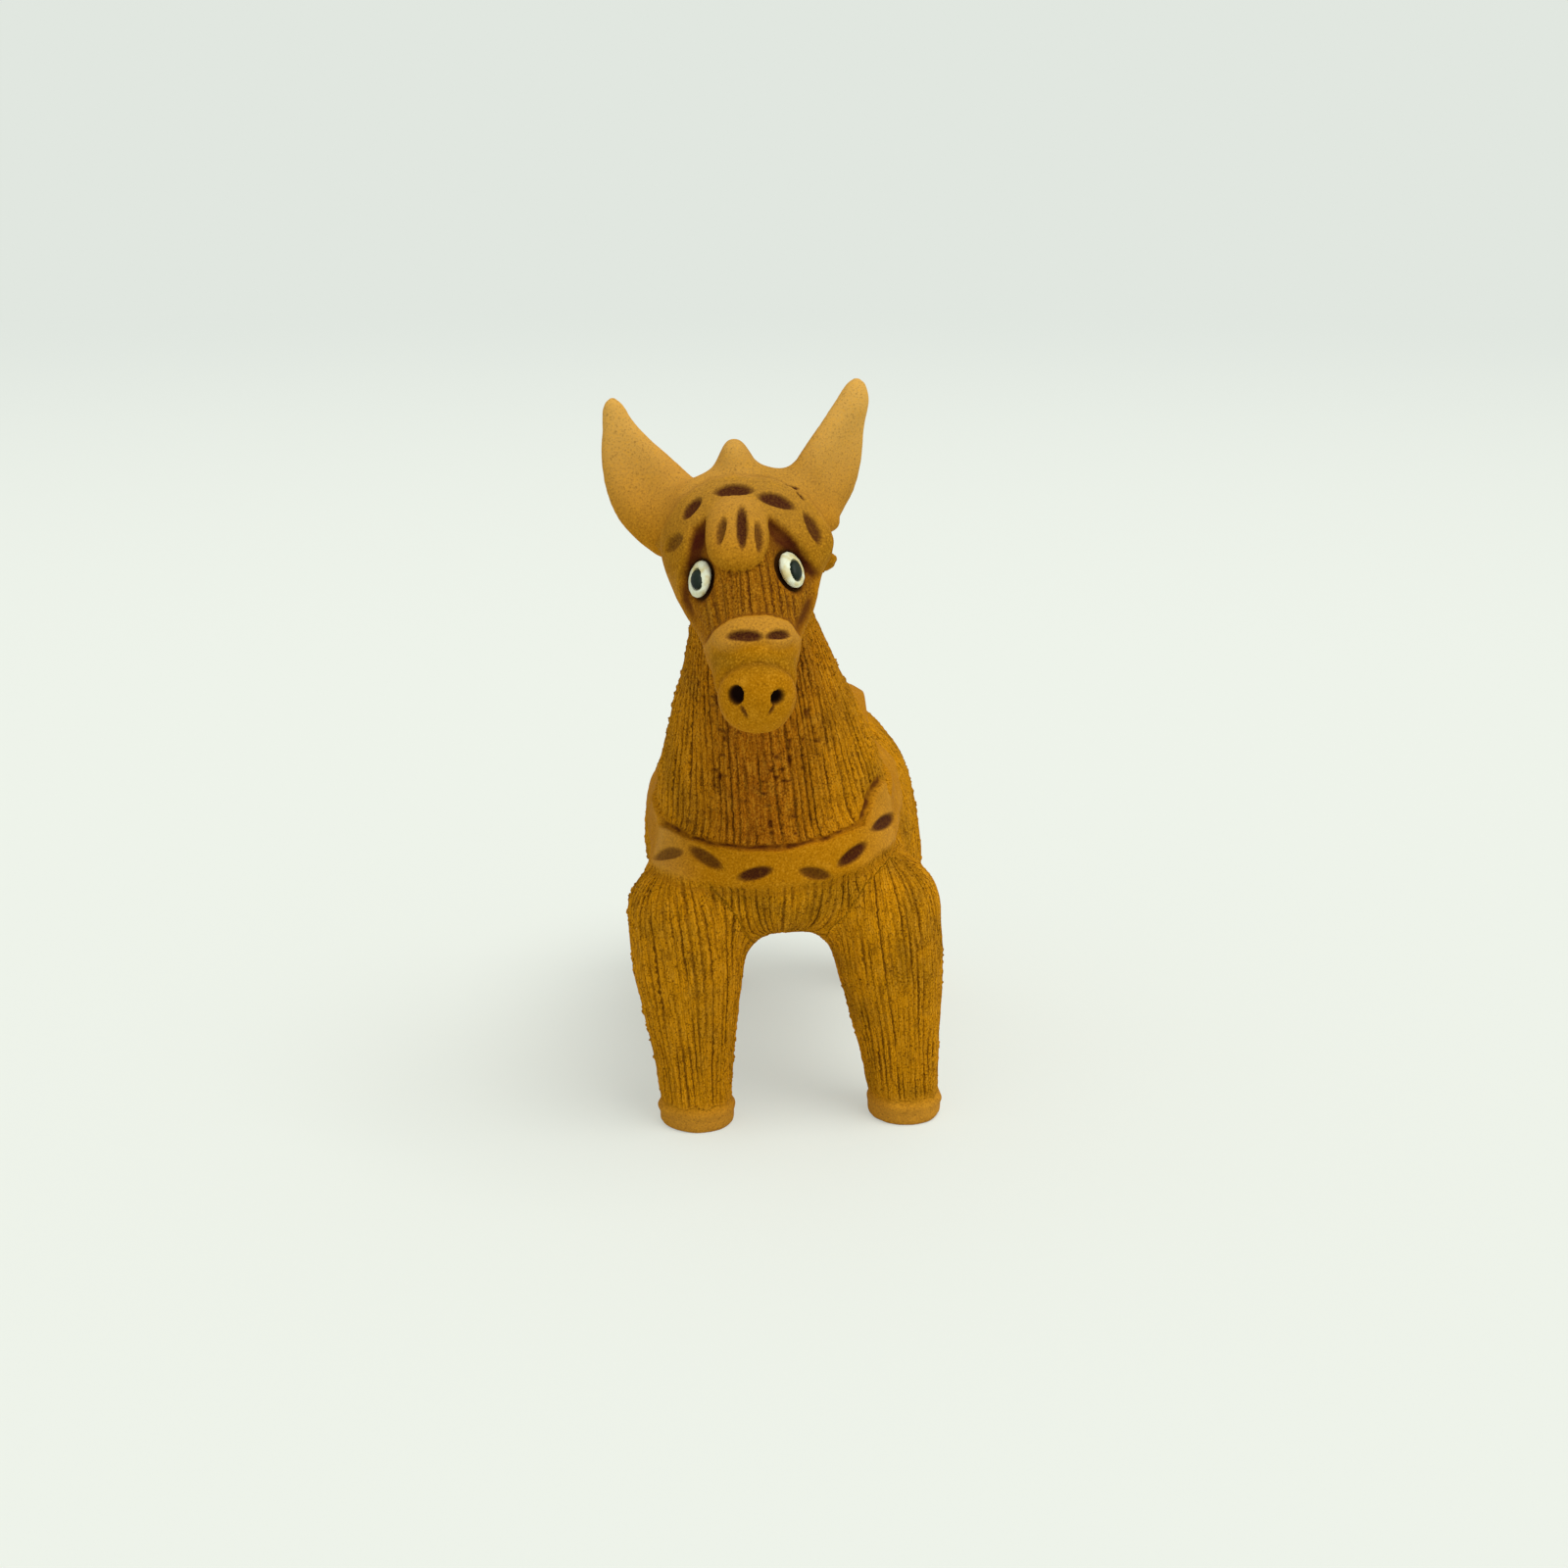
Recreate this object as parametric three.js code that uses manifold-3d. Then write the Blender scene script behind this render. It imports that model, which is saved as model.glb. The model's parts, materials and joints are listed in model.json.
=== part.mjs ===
// Terracotta donkey figurine, hand-built: lumps and coils of clay luted together with slip and fired.
// Millimetres, +Z up. The donkey stands on z = 0 and looks along -Y, so its left side is +X.
// Every piece is made where it sits in the maker's frame, and the whole is then centred over its base.

import * as THREE from "three";
import { LoftGeometry } from "three/addons/geometries/LoftGeometry.js";
import { mergeVertices } from "three/addons/utils/BufferGeometryUtils.js";
import Module from "manifold-3d";

const wasm = await Module();
wasm.setup();

// Clay
const JOINT_GAP = 0.3;
const CLAY_WALL = 6;
const VENT_DIAMETER = 3.4;
const COMB_DEPTH = 0.7;

// Hooves and legs
const HOOF_RADIUS = 9;
const HOOF_HEIGHT = 5.5;
const HOOF_EDGE = 0.8;
const ANKLE_RADIUS = 8.2;
const CALF_RADIUS = 10.8;
const SHOULDER_RADIUS = 13.6;
const FEET_SPREAD = 51;
const FEET_OFFSET = 4.2;
const FEET_STANCE = 94;
const FRONT_STAGGER = 4.7;
const SHOULDER_SPREAD = 48;
const SHOULDER_DROP = 9;
const HAUNCH_DROP = 11;
const SHOULDER_DOME = 12.5;
const ANKLE_FLARE = 0.8;
const SHOULDER_TAPER = 0.6;
const LEG_BEND = 0.6;

// Trunk: the shares run from the chest to the rump
const BELLY_HEIGHT = 44;
const BELLY_DEPTH = 19;
const BACK_RISE = 27.3;
const TRUNK_WIDTH = 67.5;
const TRUNK_LENGTH = 120;
const TRUNK_SHIFT = 2;
const CHEST_DOME = 15;
const RUMP_DOME = 14;
const TRUNK_SKEW = 2.2;
const WIDTH_SHARES = [0.82, 0.96, 1, 1, 0.88];
const BACK_SHARES = [0.9, 0.98, 1, 1, 0.9];
const BELLY_SHARES = [0.78, 0.94, 1, 1, 0.88];

// Neck: widths and depths from the shoulders up to the poll
const NECK_FORWARD = 25;
const NECK_OFFSET = 1.5;
const NECK_REACH = 30;
const NECK_RISE = 87.5;
const NECK_LEAN = 8.4;
const NECK_BEND = 0.48;
const NECK_ARCH = 6;
const NECK_WIDTHS = [57, 53.6, 39.6, 26, 23];
const NECK_DEPTHS = [54, 50, 38, 30, 25];
const NECK_BORE = 20;
const NECK_BORE_AT = 0.3;

// Mane, a crest of clay along the back of the neck that ends in a peak between the ears
const MANE_THICKNESS = 10;
const MANE_HEIGHT = 5;
const MANE_PEAK = 17.5;

// Head: widths and depths from the poll down to the snout
const HEAD_PITCH = 42;
const HEAD_ROLL = 7;
const HEAD_LENGTH = 51;
const HEAD_WIDTHS = [31, 33.6, 27.6, 18, 17.4];
const HEAD_DEPTHS = [21, 27.4, 26, 21, 18.4];
const POLL_DOME = 4.5;
const SNOUT_DOME = 4;
const POLL_BACK = 4;

// Nose
const NOSE_RADIUS = 8.2;
const NOSE_DEPTH = 6.2;
const NOSE_LIFT = 22;
const NOSE_AHEAD = 4.2;
const NOSE_RISE = 1.6;
const NOSTRIL_SPACING = 9;
const NOSTRIL_WIDTH = 2.8;
const NOSTRIL_HEIGHT = 3.6;
const NOSTRIL_DEPTH = 3;

// Eyes, white pellets pressed into the head with dark pellets pressed into them
const EYE_BEHIND_SNOUT = 24;
const EYE_ANGLE_LEFT = 51;
const EYE_ANGLE_RIGHT = 48;
const EYE_LENGTH = 9.2;
const EYE_WIDTH = 7.4;
const EYE_THICKNESS = 3.6;
const EYE_SEAT = 0.7;
const EYE_RIM = 0.5;
const PUPIL_LENGTH = 5.2;
const PUPIL_WIDTH = 3.4;
const PUPIL_THICKNESS = 2;
const PUPIL_PROUD = 0.35;
const PUPIL_AHEAD = 0.8;
const LOOK_LEFT = 0;
const LOOK_RIGHT = 26;

// Ears
const EAR_LENGTH_LEFT = 28.8;
const EAR_LENGTH_RIGHT = 30.4;
const EAR_SPREAD = 32;
const EAR_OFFSET = 0.7;
const EAR_ROOT = 3;
const EAR_HEEL = 5;
const EAR_BACK = 4;
const EAR_DROP = 2;
const EAR_SPLAY_LEFT = 28;
const EAR_SPLAY_RIGHT = 22;
const EAR_SWEEP = 53;
const EAR_WIDTHS = [17, 19.5, 16.5, 10.5, 4.6];
const EAR_THICKNESSES = [7.4, 6.6, 5.8, 4.6, 3];
const EAR_TIP = 1.6;
const EAR_BOW_LEFT = 1;
const EAR_BOW_RIGHT = 2.8;
const EAR_TURN_LEFT = 44;
const EAR_TURN_RIGHT = 0;
const EAR_DISH_LENGTH = 22;
const EAR_DISH_WIDTH = 9.5;
const EAR_DISH_DEPTH = 1.3;
const EAR_DISH_AT = 0.55;

// Bridle straps
const STRAP_THICKNESS = 1.4;
const BROWBAND_WIDTH = 7;
const BROWBAND_AHEAD = 9.6;
const BROWBAND_TILT = 15;
const BROWBAND_DROP = 5;
const NOSEBAND_WIDTH = 6.2;
const NOSEBAND_SETBACK = 6.8;
const NOSEBAND_DROP = -1;
const CHEEK_STRAP_WIDTH = 5.5;
const CHEEK_STRAP_DROP_LEFT = 2;
const CHEEK_STRAP_DROP_RIGHT = -1.5;
const KNOT_RADIUS = 1.4;
const KNOT_DROP = 4;
const KNOT_STANDOFF = 0.2;

// Forelock
const FORELOCK_WIDTH = 13.2;
const FORELOCK_LENGTH = 17;
const FORELOCK_THICKNESS = 2.4;

// Breast collar and saddle
const COLLAR_WIDTH = 10;
const COLLAR_THICKNESS = 1.7;
const COLLAR_RISE = 12;
const COLLAR_TILT = 12;
const COLLAR_ROLL = 4;
const COLLAR_AHEAD = 5;
const COLLAR_TUCK = 6;
const SADDLE_THICKNESS = 5;
const SADDLE_WIDTH = 43;
const SADDLE_LENGTH = 44;
const SADDLE_BEHIND_NECK = 13;

// Leaf-shaped notches pressed into the straps
const NOTCH_LENGTH = 8.4;
const NOTCH_WIDTH = 3;
const NOTCH_DEPTH = 0.9;
const NOTCH_TILT = 13;
const COLLAR_NOTCH_COUNT = 10;
const COLLAR_NOTCH_STEP = 24.8;
const BROWBAND_NOTCH_COUNT = 5;
const BROWBAND_NOTCH_STEP = 34;
const NOSEBAND_NOTCH_COUNT = 2;
const NOSEBAND_NOTCH_STEP = 40;
const NOSEBAND_NOTCH_OFFSET = 15;
const FORELOCK_NOTCH_COUNT = 3;
const FORELOCK_NOTCH_STEP = 4.4;

// Tail
const TAIL_RADIUS = 3.6;
const TAIL_TUFT_RADIUS = 5;
const TAIL_DROP = 46;
const TAIL_ROOT_RISE = 17;
const TAIL_STANDOFF = 5;
const TAIL_ELBOW = 0.12;
const TAIL_TAPER = 0.9;

// Fineness of the facets
const MERGE_DISTANCE = 1e-4;
const TRUNK_FACETS = { around: 30, steps: 16 };
const NECK_FACETS = { around: 30, steps: 10 };
const HOLLOW_FACETS = { around: 16, steps: 6 };
const LIMB_FACETS = { around: 20, steps: 7 };
const HEAD_FACETS = { around: 30, steps: 10 };
const SMALL_FACETS = { around: 14, steps: 8 };
const HOOF_FACETS = 24;
const HOLE_FACETS = 16;
const PELLET_FACETS = 14;
const LEAF_FACETS = 3;
const TONGUE_FACETS = 12;
const DOME_ANGLES = [22, 44, 64, 80];

// Colours and finishes of the fired clay and the glaze
const COMBED_CLAY = 0xb5702c;
const SMOOTH_CLAY = 0xc98d4a;
const EYE_WHITE = 0xe8e6d2;
const PUPIL_DARK = 0x18211c;
const COMBED_ROUGHNESS = 0.9;
const SMOOTH_ROUGHNESS = 0.75;
const GLAZE_ROUGHNESS = 0.25;

// Where the main pieces sit
const trunkMiddle = new THREE.Vector3(0, TRUNK_SHIFT, BELLY_HEIGHT + BELLY_DEPTH);
const neckBase = new THREE.Vector3(-NECK_OFFSET, trunkMiddle.y - NECK_FORWARD, trunkMiddle.z);
const poll = neckBase.clone().add(new THREE.Vector3(-NECK_LEAN, -NECK_REACH, NECK_RISE));
const snoutY = -HEAD_LENGTH + POLL_BACK;
const sideways = new THREE.Vector3(1, 0, 0);
const turn = THREE.MathUtils.degToRad;
const headMatrix = new THREE.Matrix4().makeRotationFromEuler(
  new THREE.Euler(turn(HEAD_PITCH), turn(-HEAD_ROLL), 0, "YXZ"),
);
headMatrix.setPosition(poll);

// Solids and their geometry

function solid(geometry) {
  const bare = new THREE.BufferGeometry();
  bare.setAttribute("position", geometry.attributes.position);
  bare.setIndex(geometry.index);
  const merged = mergeVertices(bare, MERGE_DISTANCE);
  const vertProperties = new Float32Array(merged.attributes.position.array);
  const triVerts = new Uint32Array(merged.index.array);
  return new wasm.Manifold(new wasm.Mesh({ numProp: 3, vertProperties, triVerts }));
}

function geometryOf(shape) {
  const mesh = shape.getMesh();
  const geometry = new THREE.BufferGeometry();
  geometry.setAttribute("position", new THREE.BufferAttribute(mesh.vertProperties, 3));
  geometry.setIndex(new THREE.BufferAttribute(mesh.triVerts, 1));
  geometry.computeVertexNormals();
  return geometry;
}

const union = (shapes) => shapes.reduce((whole, shape) => whole.add(shape));
const cut = (shape, ...tools) => tools.reduce((rest, tool) => rest.subtract(tool), shape);

// A smooth function of 0..1 through half of each of the given full sizes.
function halfSizes(sizes) {
  const curve = new THREE.SplineCurve(sizes.map((size, i) => new THREE.Vector2(i, size / 2)));
  return (t) => curve.getPoint(t).y;
}

// A lump of clay: elliptical sections along a spine, domed or flat at each end.
// over is its half height towards side x spine, and under is the half height the other way.
// combed is "along" or "around" the spine, the way that comb grooves run where they have a depth.
function lump(form, grow = 0, combDepth = 0) {
  const { spine, across, over, under = over, domes, side = sideways, facets, combed } = form;
  const rings = [];
  const groove = (way, i) => (combed === way && i % 2 === 1 ? combDepth : 0);
  function addRing(t, shift, shrink, ringGroove = 0) {
    const along = spine.getTangent(t);
    const up = new THREE.Vector3().crossVectors(side, along).normalize();
    const out = new THREE.Vector3().crossVectors(up, along);
    const centre = spine.getPoint(t).addScaledVector(along, shift);
    const points = Array.from({ length: facets.around }, (_, i) => {
      const angle = (2 * Math.PI * i) / facets.around;
      const half = Math.sin(angle) > 0 ? over(t) : under(t);
      const swell = grow - ringGroove - groove("along", i);
      return centre.clone()
        .addScaledVector(out, (across(t) + swell) * shrink * Math.cos(angle))
        .addScaledVector(up, (half + swell) * shrink * Math.sin(angle));
    });
    rings.push(points);
  }
  function addDome(t, depth) {
    const angles = depth < 0 ? DOME_ANGLES.toReversed() : DOME_ANGLES;
    angles.forEach((angle) => addRing(t, depth * Math.sin(turn(angle)), Math.cos(turn(angle))));
  }
  const [startDome, endDome] = domes;
  if (startDome > 0) addDome(0, -startDome - grow);
  for (let i = 0; i <= facets.steps; i += 1) {
    const flatStart = i === 0 && startDome === 0;
    const flatEnd = i === facets.steps && endDome === 0;
    addRing(i / facets.steps, flatStart ? -grow : flatEnd ? grow : 0, 1, groove("around", i));
  }
  if (endDome > 0) addDome(1, endDome + grow);
  return solid(new LoftGeometry(rings, { capStart: true, capEnd: true }));
}

function box(width, length, height, matrix = new THREE.Matrix4()) {
  return solid(new THREE.BoxGeometry(width, length, height).applyMatrix4(matrix));
}

function upright(diameter, length, middle) {
  const rod = new THREE.CylinderGeometry(diameter / 2, diameter / 2, length, HOLE_FACETS);
  return solid(rod.rotateX(Math.PI / 2).translate(...middle.toArray()));
}

// An ellipsoid of full sizes along the axes of its matrix, offset outward by grow.
function pellet(sizes, matrix, grow = 0) {
  const geometry = new THREE.SphereGeometry(1, PELLET_FACETS, PELLET_FACETS / 2);
  geometry.scale(sizes.x / 2 + grow, sizes.y / 2 + grow, sizes.z / 2 + grow);
  return solid(geometry.applyMatrix4(matrix));
}

function prismOf(shape, depth, curveSegments) {
  return new THREE.ExtrudeGeometry(shape, { depth, curveSegments, bevelEnabled: false });
}

// A leaf outline along x, extruded along z from the middle outward.
function leafPrism(length, width, reach) {
  const leaf = new THREE.Shape();
  leaf.moveTo(-length / 2, 0);
  leaf.quadraticCurveTo(0, -width, length / 2, 0);
  leaf.quadraticCurveTo(0, width, -length / 2, 0);
  return prismOf(leaf, reach, LEAF_FACETS);
}

const matrixAt = (position, euler = new THREE.Euler()) =>
  new THREE.Matrix4().makeRotationFromEuler(euler).setPosition(position);

// Leaf prisms that stand out from the y axis, spread evenly about +z and tilted in turn.
function leavesAbout(count, stepAngle, firstOffset, reach) {
  return Array.from({ length: count }, (_, i) => {
    const angle = (i - (count - 1) / 2) * stepAngle + firstOffset;
    const tilt = i % 2 === 0 ? NOTCH_TILT : -NOTCH_TILT;
    const prism = leafPrism(NOTCH_LENGTH, NOTCH_WIDTH, reach);
    prism.applyMatrix4(new THREE.Matrix4().makeRotationZ(turn(tilt)));
    prism.applyMatrix4(new THREE.Matrix4().makeRotationY(turn(angle)));
    return prism;
  });
}

// The body lumps

const trunkLump = {
  spine: new THREE.LineCurve3(
    new THREE.Vector3(-TRUNK_SKEW, trunkMiddle.y - TRUNK_LENGTH / 2 + CHEST_DOME, trunkMiddle.z),
    new THREE.Vector3(0, trunkMiddle.y + TRUNK_LENGTH / 2 - RUMP_DOME, trunkMiddle.z),
  ),
  across: halfSizes(WIDTH_SHARES.map((share) => share * TRUNK_WIDTH)),
  over: halfSizes(BACK_SHARES.map((share) => share * 2 * BACK_RISE)),
  under: halfSizes(BELLY_SHARES.map((share) => share * 2 * BELLY_DEPTH)),
  domes: [CHEST_DOME, RUMP_DOME],
  facets: TRUNK_FACETS,
  combed: "around",
};

const neckLump = {
  spine: new THREE.QuadraticBezierCurve3(
    neckBase,
    neckBase.clone().lerp(poll, NECK_BEND).add(new THREE.Vector3(0, -NECK_ARCH, 0)),
    poll,
  ),
  across: halfSizes(NECK_WIDTHS),
  over: halfSizes(NECK_DEPTHS),
  domes: [0, 0],
  facets: NECK_FACETS,
  combed: "along",
};

const headLump = {
  spine: new THREE.LineCurve3(new THREE.Vector3(0, POLL_BACK, 0), new THREE.Vector3(0, snoutY, 0)),
  across: halfSizes(HEAD_WIDTHS),
  over: halfSizes(HEAD_DEPTHS),
  domes: [POLL_DOME, SNOUT_DOME],
  facets: HEAD_FACETS,
};

function legLump({ sign, y: footY, drop }) {
  const foot = new THREE.Vector3(FEET_OFFSET + (sign * FEET_SPREAD) / 2, footY, HOOF_HEIGHT / 2);
  const shoulderZ = trunkMiddle.z - drop;
  const shoulder = new THREE.Vector3((sign * SHOULDER_SPREAD) / 2, footY, shoulderZ);
  const fetlock = ANKLE_RADIUS + ANKLE_FLARE;
  const forearm = SHOULDER_RADIUS - SHOULDER_TAPER;
  const radii = [ANKLE_RADIUS, fetlock, CALF_RADIUS, forearm, SHOULDER_RADIUS];
  const radius = halfSizes(radii.map((size) => 2 * size));
  const bend = foot.clone().lerp(shoulder, 0.5);
  bend.x = THREE.MathUtils.lerp(shoulder.x, foot.x, LEG_BEND);
  return {
    spine: new THREE.QuadraticBezierCurve3(foot, bend, shoulder),
    across: radius,
    over: radius,
    domes: [0, SHOULDER_DOME],
    facets: LIMB_FACETS,
    combed: "along",
  };
}

const frontY = (TRUNK_SHIFT - FEET_STANCE) / 2;
const rearY = (TRUNK_SHIFT + FEET_STANCE) / 2;
const footRows = [
  { name: "front_left", sign: 1, y: frontY + FRONT_STAGGER / 2, drop: SHOULDER_DROP },
  { name: "front_right", sign: -1, y: frontY - FRONT_STAGGER / 2, drop: SHOULDER_DROP },
  { name: "rear_left", sign: 1, y: rearY, drop: HAUNCH_DROP },
  { name: "rear_right", sign: -1, y: rearY, drop: HAUNCH_DROP },
];
const legs = footRows.map((row) => ({ ...row, lump: legLump(row) }));

const trunkForm = (grow) => lump(trunkLump, grow);
const neckForm = (grow) => lump(neckLump, grow);
const hollowIn = (form) => lump({ ...form, facets: HOLLOW_FACETS }, -CLAY_WALL);
const headForm = (grow) => lump(headLump, grow);
const headInPlace = (grow) => headForm(grow).transform(headMatrix.elements);
const foreForm = (grow) => union([trunkForm(grow), neckForm(grow)]);

// Body pieces, in the maker's frame

function makeTrunk() {
  const throat = neckLump.spine.getPoint(NECK_BORE_AT);
  const vent = upright(VENT_DIAMETER, 2 * BELLY_DEPTH, trunkMiddle.clone().setZ(BELLY_HEIGHT));
  const bore = upright(NECK_BORE, 2 * BACK_RISE, throat.setZ(trunkMiddle.z + BACK_RISE));
  return cut(lump(trunkLump, 0, COMB_DEPTH), hollowIn(trunkLump), vent, bore);
}

// The neck ends level with the trunk's widest line, inside the trunk's outline.
function makeNeck() {
  const lowerHalf = trunkMiddle.clone().setZ(trunkMiddle.z - BELLY_DEPTH);
  const belowSeat = box(2 * TRUNK_WIDTH, 2 * TRUNK_LENGTH, 2 * BELLY_DEPTH, matrixAt(lowerHalf));
  const combedNeck = lump(neckLump, 0, COMB_DEPTH);
  return cut(combedNeck, trunkForm(JOINT_GAP), headInPlace(JOINT_GAP), hollowIn(neckLump), belowSeat);
}

// Legs stand flat on their hooves.
function makeLeg(leg) {
  const foot = leg.lump.spine.getPoint(0);
  const hoofTop = HOOF_HEIGHT + JOINT_GAP;
  const below = matrixAt(new THREE.Vector3(foot.x, foot.y, hoofTop / 2));
  const clearance = 4 * HOOF_RADIUS;
  const hoofSpace = box(clearance, clearance, hoofTop, below);
  const combedLeg = lump(leg.lump, 0, COMB_DEPTH);
  return cut(combedLeg, foreForm(JOINT_GAP), collarBlock(JOINT_GAP), hoofSpace);
}

function makeHoof() {
  const outline = [
    [0, 0],
    [HOOF_RADIUS - HOOF_EDGE, 0],
    [HOOF_RADIUS, HOOF_EDGE],
    [HOOF_RADIUS - HOOF_EDGE / 4, HOOF_HEIGHT / 2],
    [(HOOF_RADIUS + ANKLE_RADIUS) / 2, HOOF_HEIGHT],
    [0, HOOF_HEIGHT],
  ];
  const points = outline.map(([radius, height]) => new THREE.Vector2(radius, height));
  return solid(new THREE.LatheGeometry(points, HOOF_FACETS).rotateX(Math.PI / 2));
}

const saddleFront = neckBase.y + SADDLE_BEHIND_NECK;

// The pad's block of space: the trunk's skin thickened, between the front and rear edges.
function saddleBlock(grow) {
  const middle = new THREE.Vector3(0, saddleFront + SADDLE_LENGTH / 2, trunkMiddle.z + BACK_RISE);
  const sizes = [SADDLE_WIDTH, SADDLE_LENGTH, BACK_RISE].map((size) => size + 2 * grow);
  return trunkForm(JOINT_GAP + SADDLE_THICKNESS + grow).intersect(box(...sizes, matrixAt(middle)));
}

function makeSaddle() {
  return cut(saddleBlock(0), trunkForm(JOINT_GAP), neckForm(JOINT_GAP));
}

const maneLump = {
  spine: neckLump.spine,
  across: () => MANE_THICKNESS / 2,
  over: () => MANE_THICKNESS / 2,
  under: (t) => neckLump.over(t) + MANE_HEIGHT,
  domes: [0, MANE_PEAK],
  facets: LIMB_FACETS,
};

function makeMane() {
  const seats = [trunkForm, neckForm, headInPlace, saddleBlock].map((form) => form(JOINT_GAP));
  return cut(lump(maneLump), ...seats);
}

// The collar's slab of space lies in a tilted frame whose z axis is the band's width.
const collarRing = new THREE.Vector3(0, neckBase.y - COLLAR_AHEAD, trunkMiddle.z + COLLAR_RISE);
const collarFrame = matrixAt(collarRing, new THREE.Euler(turn(COLLAR_TILT), turn(-COLLAR_ROLL), 0));

function collarBlock(grow) {
  const tail = saddleFront - collarRing.y + COLLAR_TUCK + grow;
  const slab = new THREE.BoxGeometry(2 * TRUNK_WIDTH, TRUNK_LENGTH, COLLAR_WIDTH + 2 * grow);
  slab.translate(0, tail - TRUNK_LENGTH / 2, 0).applyMatrix4(collarFrame);
  return foreForm(JOINT_GAP + COLLAR_THICKNESS + grow).intersect(solid(slab));
}

function makeCollar() {
  const band = cut(collarBlock(0), foreForm(JOINT_GAP), saddleBlock(JOINT_GAP));
  const leaves = leavesAbout(COLLAR_NOTCH_COUNT, COLLAR_NOTCH_STEP, 0, TRUNK_WIDTH)
    .map((leaf) => solid(leaf.rotateX(Math.PI / 2).applyMatrix4(collarFrame)));
  return press(band, leaves, foreForm(JOINT_GAP + COLLAR_THICKNESS - NOTCH_DEPTH));
}

function makeTail() {
  const rump = trunkMiddle.y + TRUNK_LENGTH / 2;
  const root = new THREE.Vector3(0, rump - RUMP_DOME, trunkMiddle.z + TAIL_ROOT_RISE);
  const back = rump + TAIL_STANDOFF;
  const spine = new THREE.CatmullRomCurve3([
    root,
    new THREE.Vector3(0, back - TAIL_RADIUS, root.z - TAIL_DROP * TAIL_ELBOW),
    new THREE.Vector3(0, back, root.z - TAIL_DROP / 2),
    new THREE.Vector3(0, back, root.z - TAIL_DROP),
  ]);
  const coil = 2 * TAIL_RADIUS;
  const radius = halfSizes([coil, coil, TAIL_TAPER * coil, 2 * TAIL_TUFT_RADIUS, TAIL_RADIUS]);
  const tail = { spine, across: radius, over: radius, domes: [0, TAIL_RADIUS], facets: SMALL_FACETS };
  return cut(lump(tail), trunkForm(JOINT_GAP));
}

// Head pieces, in the head's own frame: the head lies along y with the face up and the snout at -y

const headShare = (y) => (POLL_BACK - y) / HEAD_LENGTH;
const browY = -BROWBAND_AHEAD;
const browFrame = matrixAt(new THREE.Vector3(0, browY, 0), new THREE.Euler(turn(-BROWBAND_TILT), 0, 0));
const nosebandY = snoutY + NOSEBAND_SETBACK;

// A strap luted to the head: the head's skin thickened, inside a box.
function strapIn(region) {
  return cut(headForm(JOINT_GAP + STRAP_THICKNESS).intersect(region), headForm(JOINT_GAP));
}

function browbandBox(grow) {
  const height = HEAD_DEPTHS[0];
  const block = new THREE.BoxGeometry(2 * HEAD_WIDTHS[0], BROWBAND_WIDTH + 2 * grow, height + 2 * grow);
  return solid(block.translate(0, 0, height / 2 - BROWBAND_DROP).applyMatrix4(browFrame));
}

function nosebandBox(grow) {
  const height = HEAD_DEPTHS[0];
  const middle = new THREE.Vector3(0, nosebandY, height / 2 - NOSEBAND_DROP);
  return box(2 * HEAD_WIDTHS[0], NOSEBAND_WIDTH + 2 * grow, height + 2 * grow, matrixAt(middle));
}

// Presses prisms into a band down to the floor that the given form sets.
function press(band, prisms, floor) {
  return cut(band, cut(union(prisms), floor));
}

const strapFloor = () => headForm(JOINT_GAP + STRAP_THICKNESS - NOTCH_DEPTH);

function makeBrowband() {
  const leaves = leavesAbout(BROWBAND_NOTCH_COUNT, BROWBAND_NOTCH_STEP, 0, HEAD_WIDTHS[0])
    .map((leaf) => solid(leaf.applyMatrix4(browFrame)));
  return press(cut(strapIn(browbandBox(0)), knotPellet(JOINT_GAP)), leaves, strapFloor());
}

function makeNoseband() {
  const reach = HEAD_WIDTHS[0];
  const leaves = leavesAbout(NOSEBAND_NOTCH_COUNT, NOSEBAND_NOTCH_STEP, NOSEBAND_NOTCH_OFFSET, reach)
    .map((leaf) => solid(leaf.translate(0, nosebandY, 0)));
  return press(strapIn(nosebandBox(0)), leaves, strapFloor());
}

function knotPellet(grow) {
  const y = browY - BROWBAND_WIDTH / 2;
  const x = headLump.across(headShare(y)) + JOINT_GAP + STRAP_THICKNESS + KNOT_STANDOFF;
  const size = 2 * KNOT_RADIUS;
  return pellet(new THREE.Vector3(size, size, size), matrixAt(new THREE.Vector3(x, y, -KNOT_DROP)), grow);
}

function makeCheekStrap(sign, drop) {
  const length = browY - nosebandY;
  const middle = new THREE.Vector3(sign * HEAD_WIDTHS[0], (browY + nosebandY) / 2, -drop);
  const strip = box(2 * HEAD_WIDTHS[0], length, CHEEK_STRAP_WIDTH, matrixAt(middle));
  return cut(strapIn(strip), browbandBox(JOINT_GAP), nosebandBox(JOINT_GAP), knotPellet(JOINT_GAP));
}

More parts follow.
